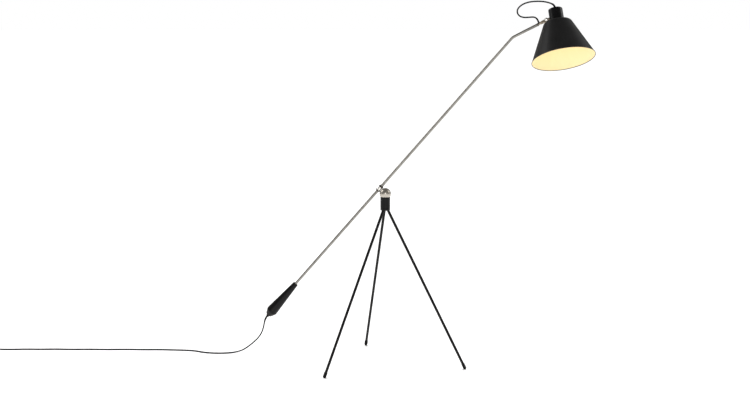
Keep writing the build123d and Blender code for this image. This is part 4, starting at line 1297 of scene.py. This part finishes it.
# Switch and plug on the lead.
def make_switch_and_plug():
    on_cord = []
    for node, name in (("switch_case_lower", "switch_lower_half"),
                       ("switch_case_upper", "switch_upper_half")):
        on_cord.append(settle(eased(name, node, "mould", 0.7 * MM, 3), "tripod",
                              "black_mouldings", node))
    settle(eased("switch_rocker_eased", "switch_rocker", "holder", 0.5 * MM, 3), "rocker",
           "black_mouldings", "switch_rocker")
    low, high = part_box("switch_case_upper")
    middle = (low + high) / 2
    for name, start in (("grip_bars_left", low.x + 12.5 * MM),
                        ("grip_bars_right", high.x - 16.5 * MM)):
        place = Matrix.Translation((start, middle.y, high.z - 0.25 * MM))
        bars = BARS.piece("switch_" + name, place, "mould", Count=3, Pitch=(2 * MM, 0, 0),
                          Radius=0.5 * MM, Length=14 * MM)
        on_cord.append(settle(bars, "tripod", "black_mouldings"))
    on_cord.append(settle(eased("plug_moulding", "plug_body", "mould", 0.8 * MM, 3),
                          "tripod", "black_mouldings", "plug_body"))
    low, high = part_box("plug_body")
    middle = (low + high) / 2
    sideways = Matrix.Translation((middle.x, low.y + 7 * MM, high.z - 0.25 * MM)) @ Matrix.Rotation(
        math.pi / 2, 4, "Z")
    bars = BARS.piece("plug_grip_bars", sideways, "mould", Count=4, Pitch=(2.4 * MM, 0, 0),
                      Radius=0.5 * MM, Length=15 * MM)
    on_cord.append(settle(bars, "tripod", "black_mouldings"))
    on_cord.append(settle(eased("plug_pins_rounded", "plug_pins", "brass", 0.6 * MM, 3),
                          "tripod", "plug_brass", "plug_pins"))
    on_cord.append(settle(eased("coil_tie_strap", "coil_tie", "rubber", 0.3 * MM),
                          "tripod", "black_lead", "coil_tie"))
    return on_cord


make_tripod()
make_ball()
make_clamp()
make_arm()
handle_relief = make_handle()
knuckle_relief = make_knuckle()
make_shade()
gland_relief = make_gland()
make_lamp_holder()
make_bulb()
on_cord = make_switch_and_plug()

# CAD nodes that keep their shape.
KEPT = {
    "bronze": ["pan_bush"],
    "zinc": ["leg_insert_front_left", "leg_insert_right", "leg_insert_rear", "pan_set_screw",
             "switch_screws", "handle_grub_screw"],
    "ball": ["ball_stud"],
    "iron": ["counterweight_core"],
    "sheath": ["arm_inner_lead"],
    "knuckle": ["swivel_stem", "stem_clip", "lug_nut"],
    "brass": ["holder_nipple", "nipple_nut", "holder_screw_shell", "holder_contact", "bulb_tip"],
}
for finish, nodes in KEPT.items():
    for node in nodes:
        for slot in NODES[node].material_slots:
            slot.material = PAINT[finish]


# Floor and light.
FLOOR_RADIUS = 300.0
FLOOR_DROP = 0.0002      # keeps the floor just under the feet and the lead
ROOM_STRENGTH = 0.22     # what the lamp reflects is dimmer than what the camera sees
SUN_POWER = 3.9
SUN_SPREAD = math.radians(60)
STUDIO_LIGHTS = [        # name, place, aim, size, power
    ("front", (0.5, -5.6, 1.9), (0.1, 0.0, 0.9), (1.3, 1.3), 45.0),
    ("left_strip", (-2.7, 0.6, 2.9), (0.4, 0.0, 1.2), (1.1, 1.8), 32.0),
    ("right_strip", (3.8, 0.9, 2.9), (0.4, 0.0, 1.2), (1.1, 1.8), 38.0),
]


def make_floor():
    made = Finish("studio_floor", Specular_IOR_Level=0.2)
    flat = made.place()
    cloud = made.noise(flat, 1.5, 4.0)
    grit = made.noise(flat, 400.0, 2.0)
    made.set(
        Base_Color=made.blend(cloud, (0.93, 0.93, 0.93), (0.90, 0.90, 0.905)),
        Roughness=0.75 + grit * 0.1,
    )
    made.bump(grit, 0.0001)
    mesh = bpy.data.meshes.new("studio_floor")
    form = bmesh.new()
    bmesh.ops.create_circle(form, cap_ends=True, radius=FLOOR_RADIUS, segments=128)
    form.to_mesh(mesh)
    form.free()
    mesh.materials.append(made.material)
    floor = bpy.data.objects.new("studio_floor", mesh)
    floor.location.z = -FLOOR_DROP
    bpy.context.scene.collection.objects.link(floor)


def make_light(name, place, aim, size, power):
    data = bpy.data.lights.new(name, "AREA")
    data.shape = "RECTANGLE"
    data.size, data.size_y = size
    data.energy = power
    lamp = bpy.data.objects.new(name, data)
    lamp.location = place
    lamp.rotation_euler = (Vector(aim) - Vector(place)).to_track_quat("-Z", "Y").to_euler()
    bpy.context.scene.collection.objects.link(lamp)


def make_sky():
    """White behind the lamp for the camera, and a dimmer pale room for what the lamp reflects."""
    world = bpy.data.worlds.new("studio")
    world.use_nodes = True
    tree = world.node_tree
    seen = tree.nodes["Background"]
    seen.inputs["Color"].default_value = (1.0, 1.0, 1.0, 1.0)
    seen.inputs["Strength"].default_value = 1.0
    room = tree.nodes.new("ShaderNodeBackground")
    room.inputs["Color"].default_value = (1.0, 0.985, 0.96, 1.0)
    room.inputs["Strength"].default_value = ROOM_STRENGTH
    path = tree.nodes.new("ShaderNodeLightPath")
    chosen = tree.nodes.new("ShaderNodeMixShader")
    tree.links.new(path.outputs["Is Camera Ray"], chosen.inputs[0])
    tree.links.new(room.outputs[0], chosen.inputs[1])
    tree.links.new(seen.outputs[0], chosen.inputs[2])
    tree.links.new(chosen.outputs[0], tree.nodes["World Output"].inputs["Surface"])
    bpy.context.scene.world = world


def make_sun():
    """A wide soft light from above and a little behind, even over the whole floor."""
    data = bpy.data.lights.new("wide_sun", "SUN")
    data.energy = SUN_POWER
    data.angle = SUN_SPREAD
    lamp = bpy.data.objects.new("wide_sun", data)
    lamp.rotation_euler = Vector((0.08, -0.55, -1.0)).to_track_quat("-Z", "Y").to_euler()
    lamp.visible_glossy = False
    bpy.context.scene.collection.objects.link(lamp)


def make_studio():
    make_floor()
    make_sky()
    make_sun()
    for light in STUDIO_LIGHTS:
        make_light(*light)
    bpy.context.scene.view_settings.view_transform = "Standard"


make_studio()
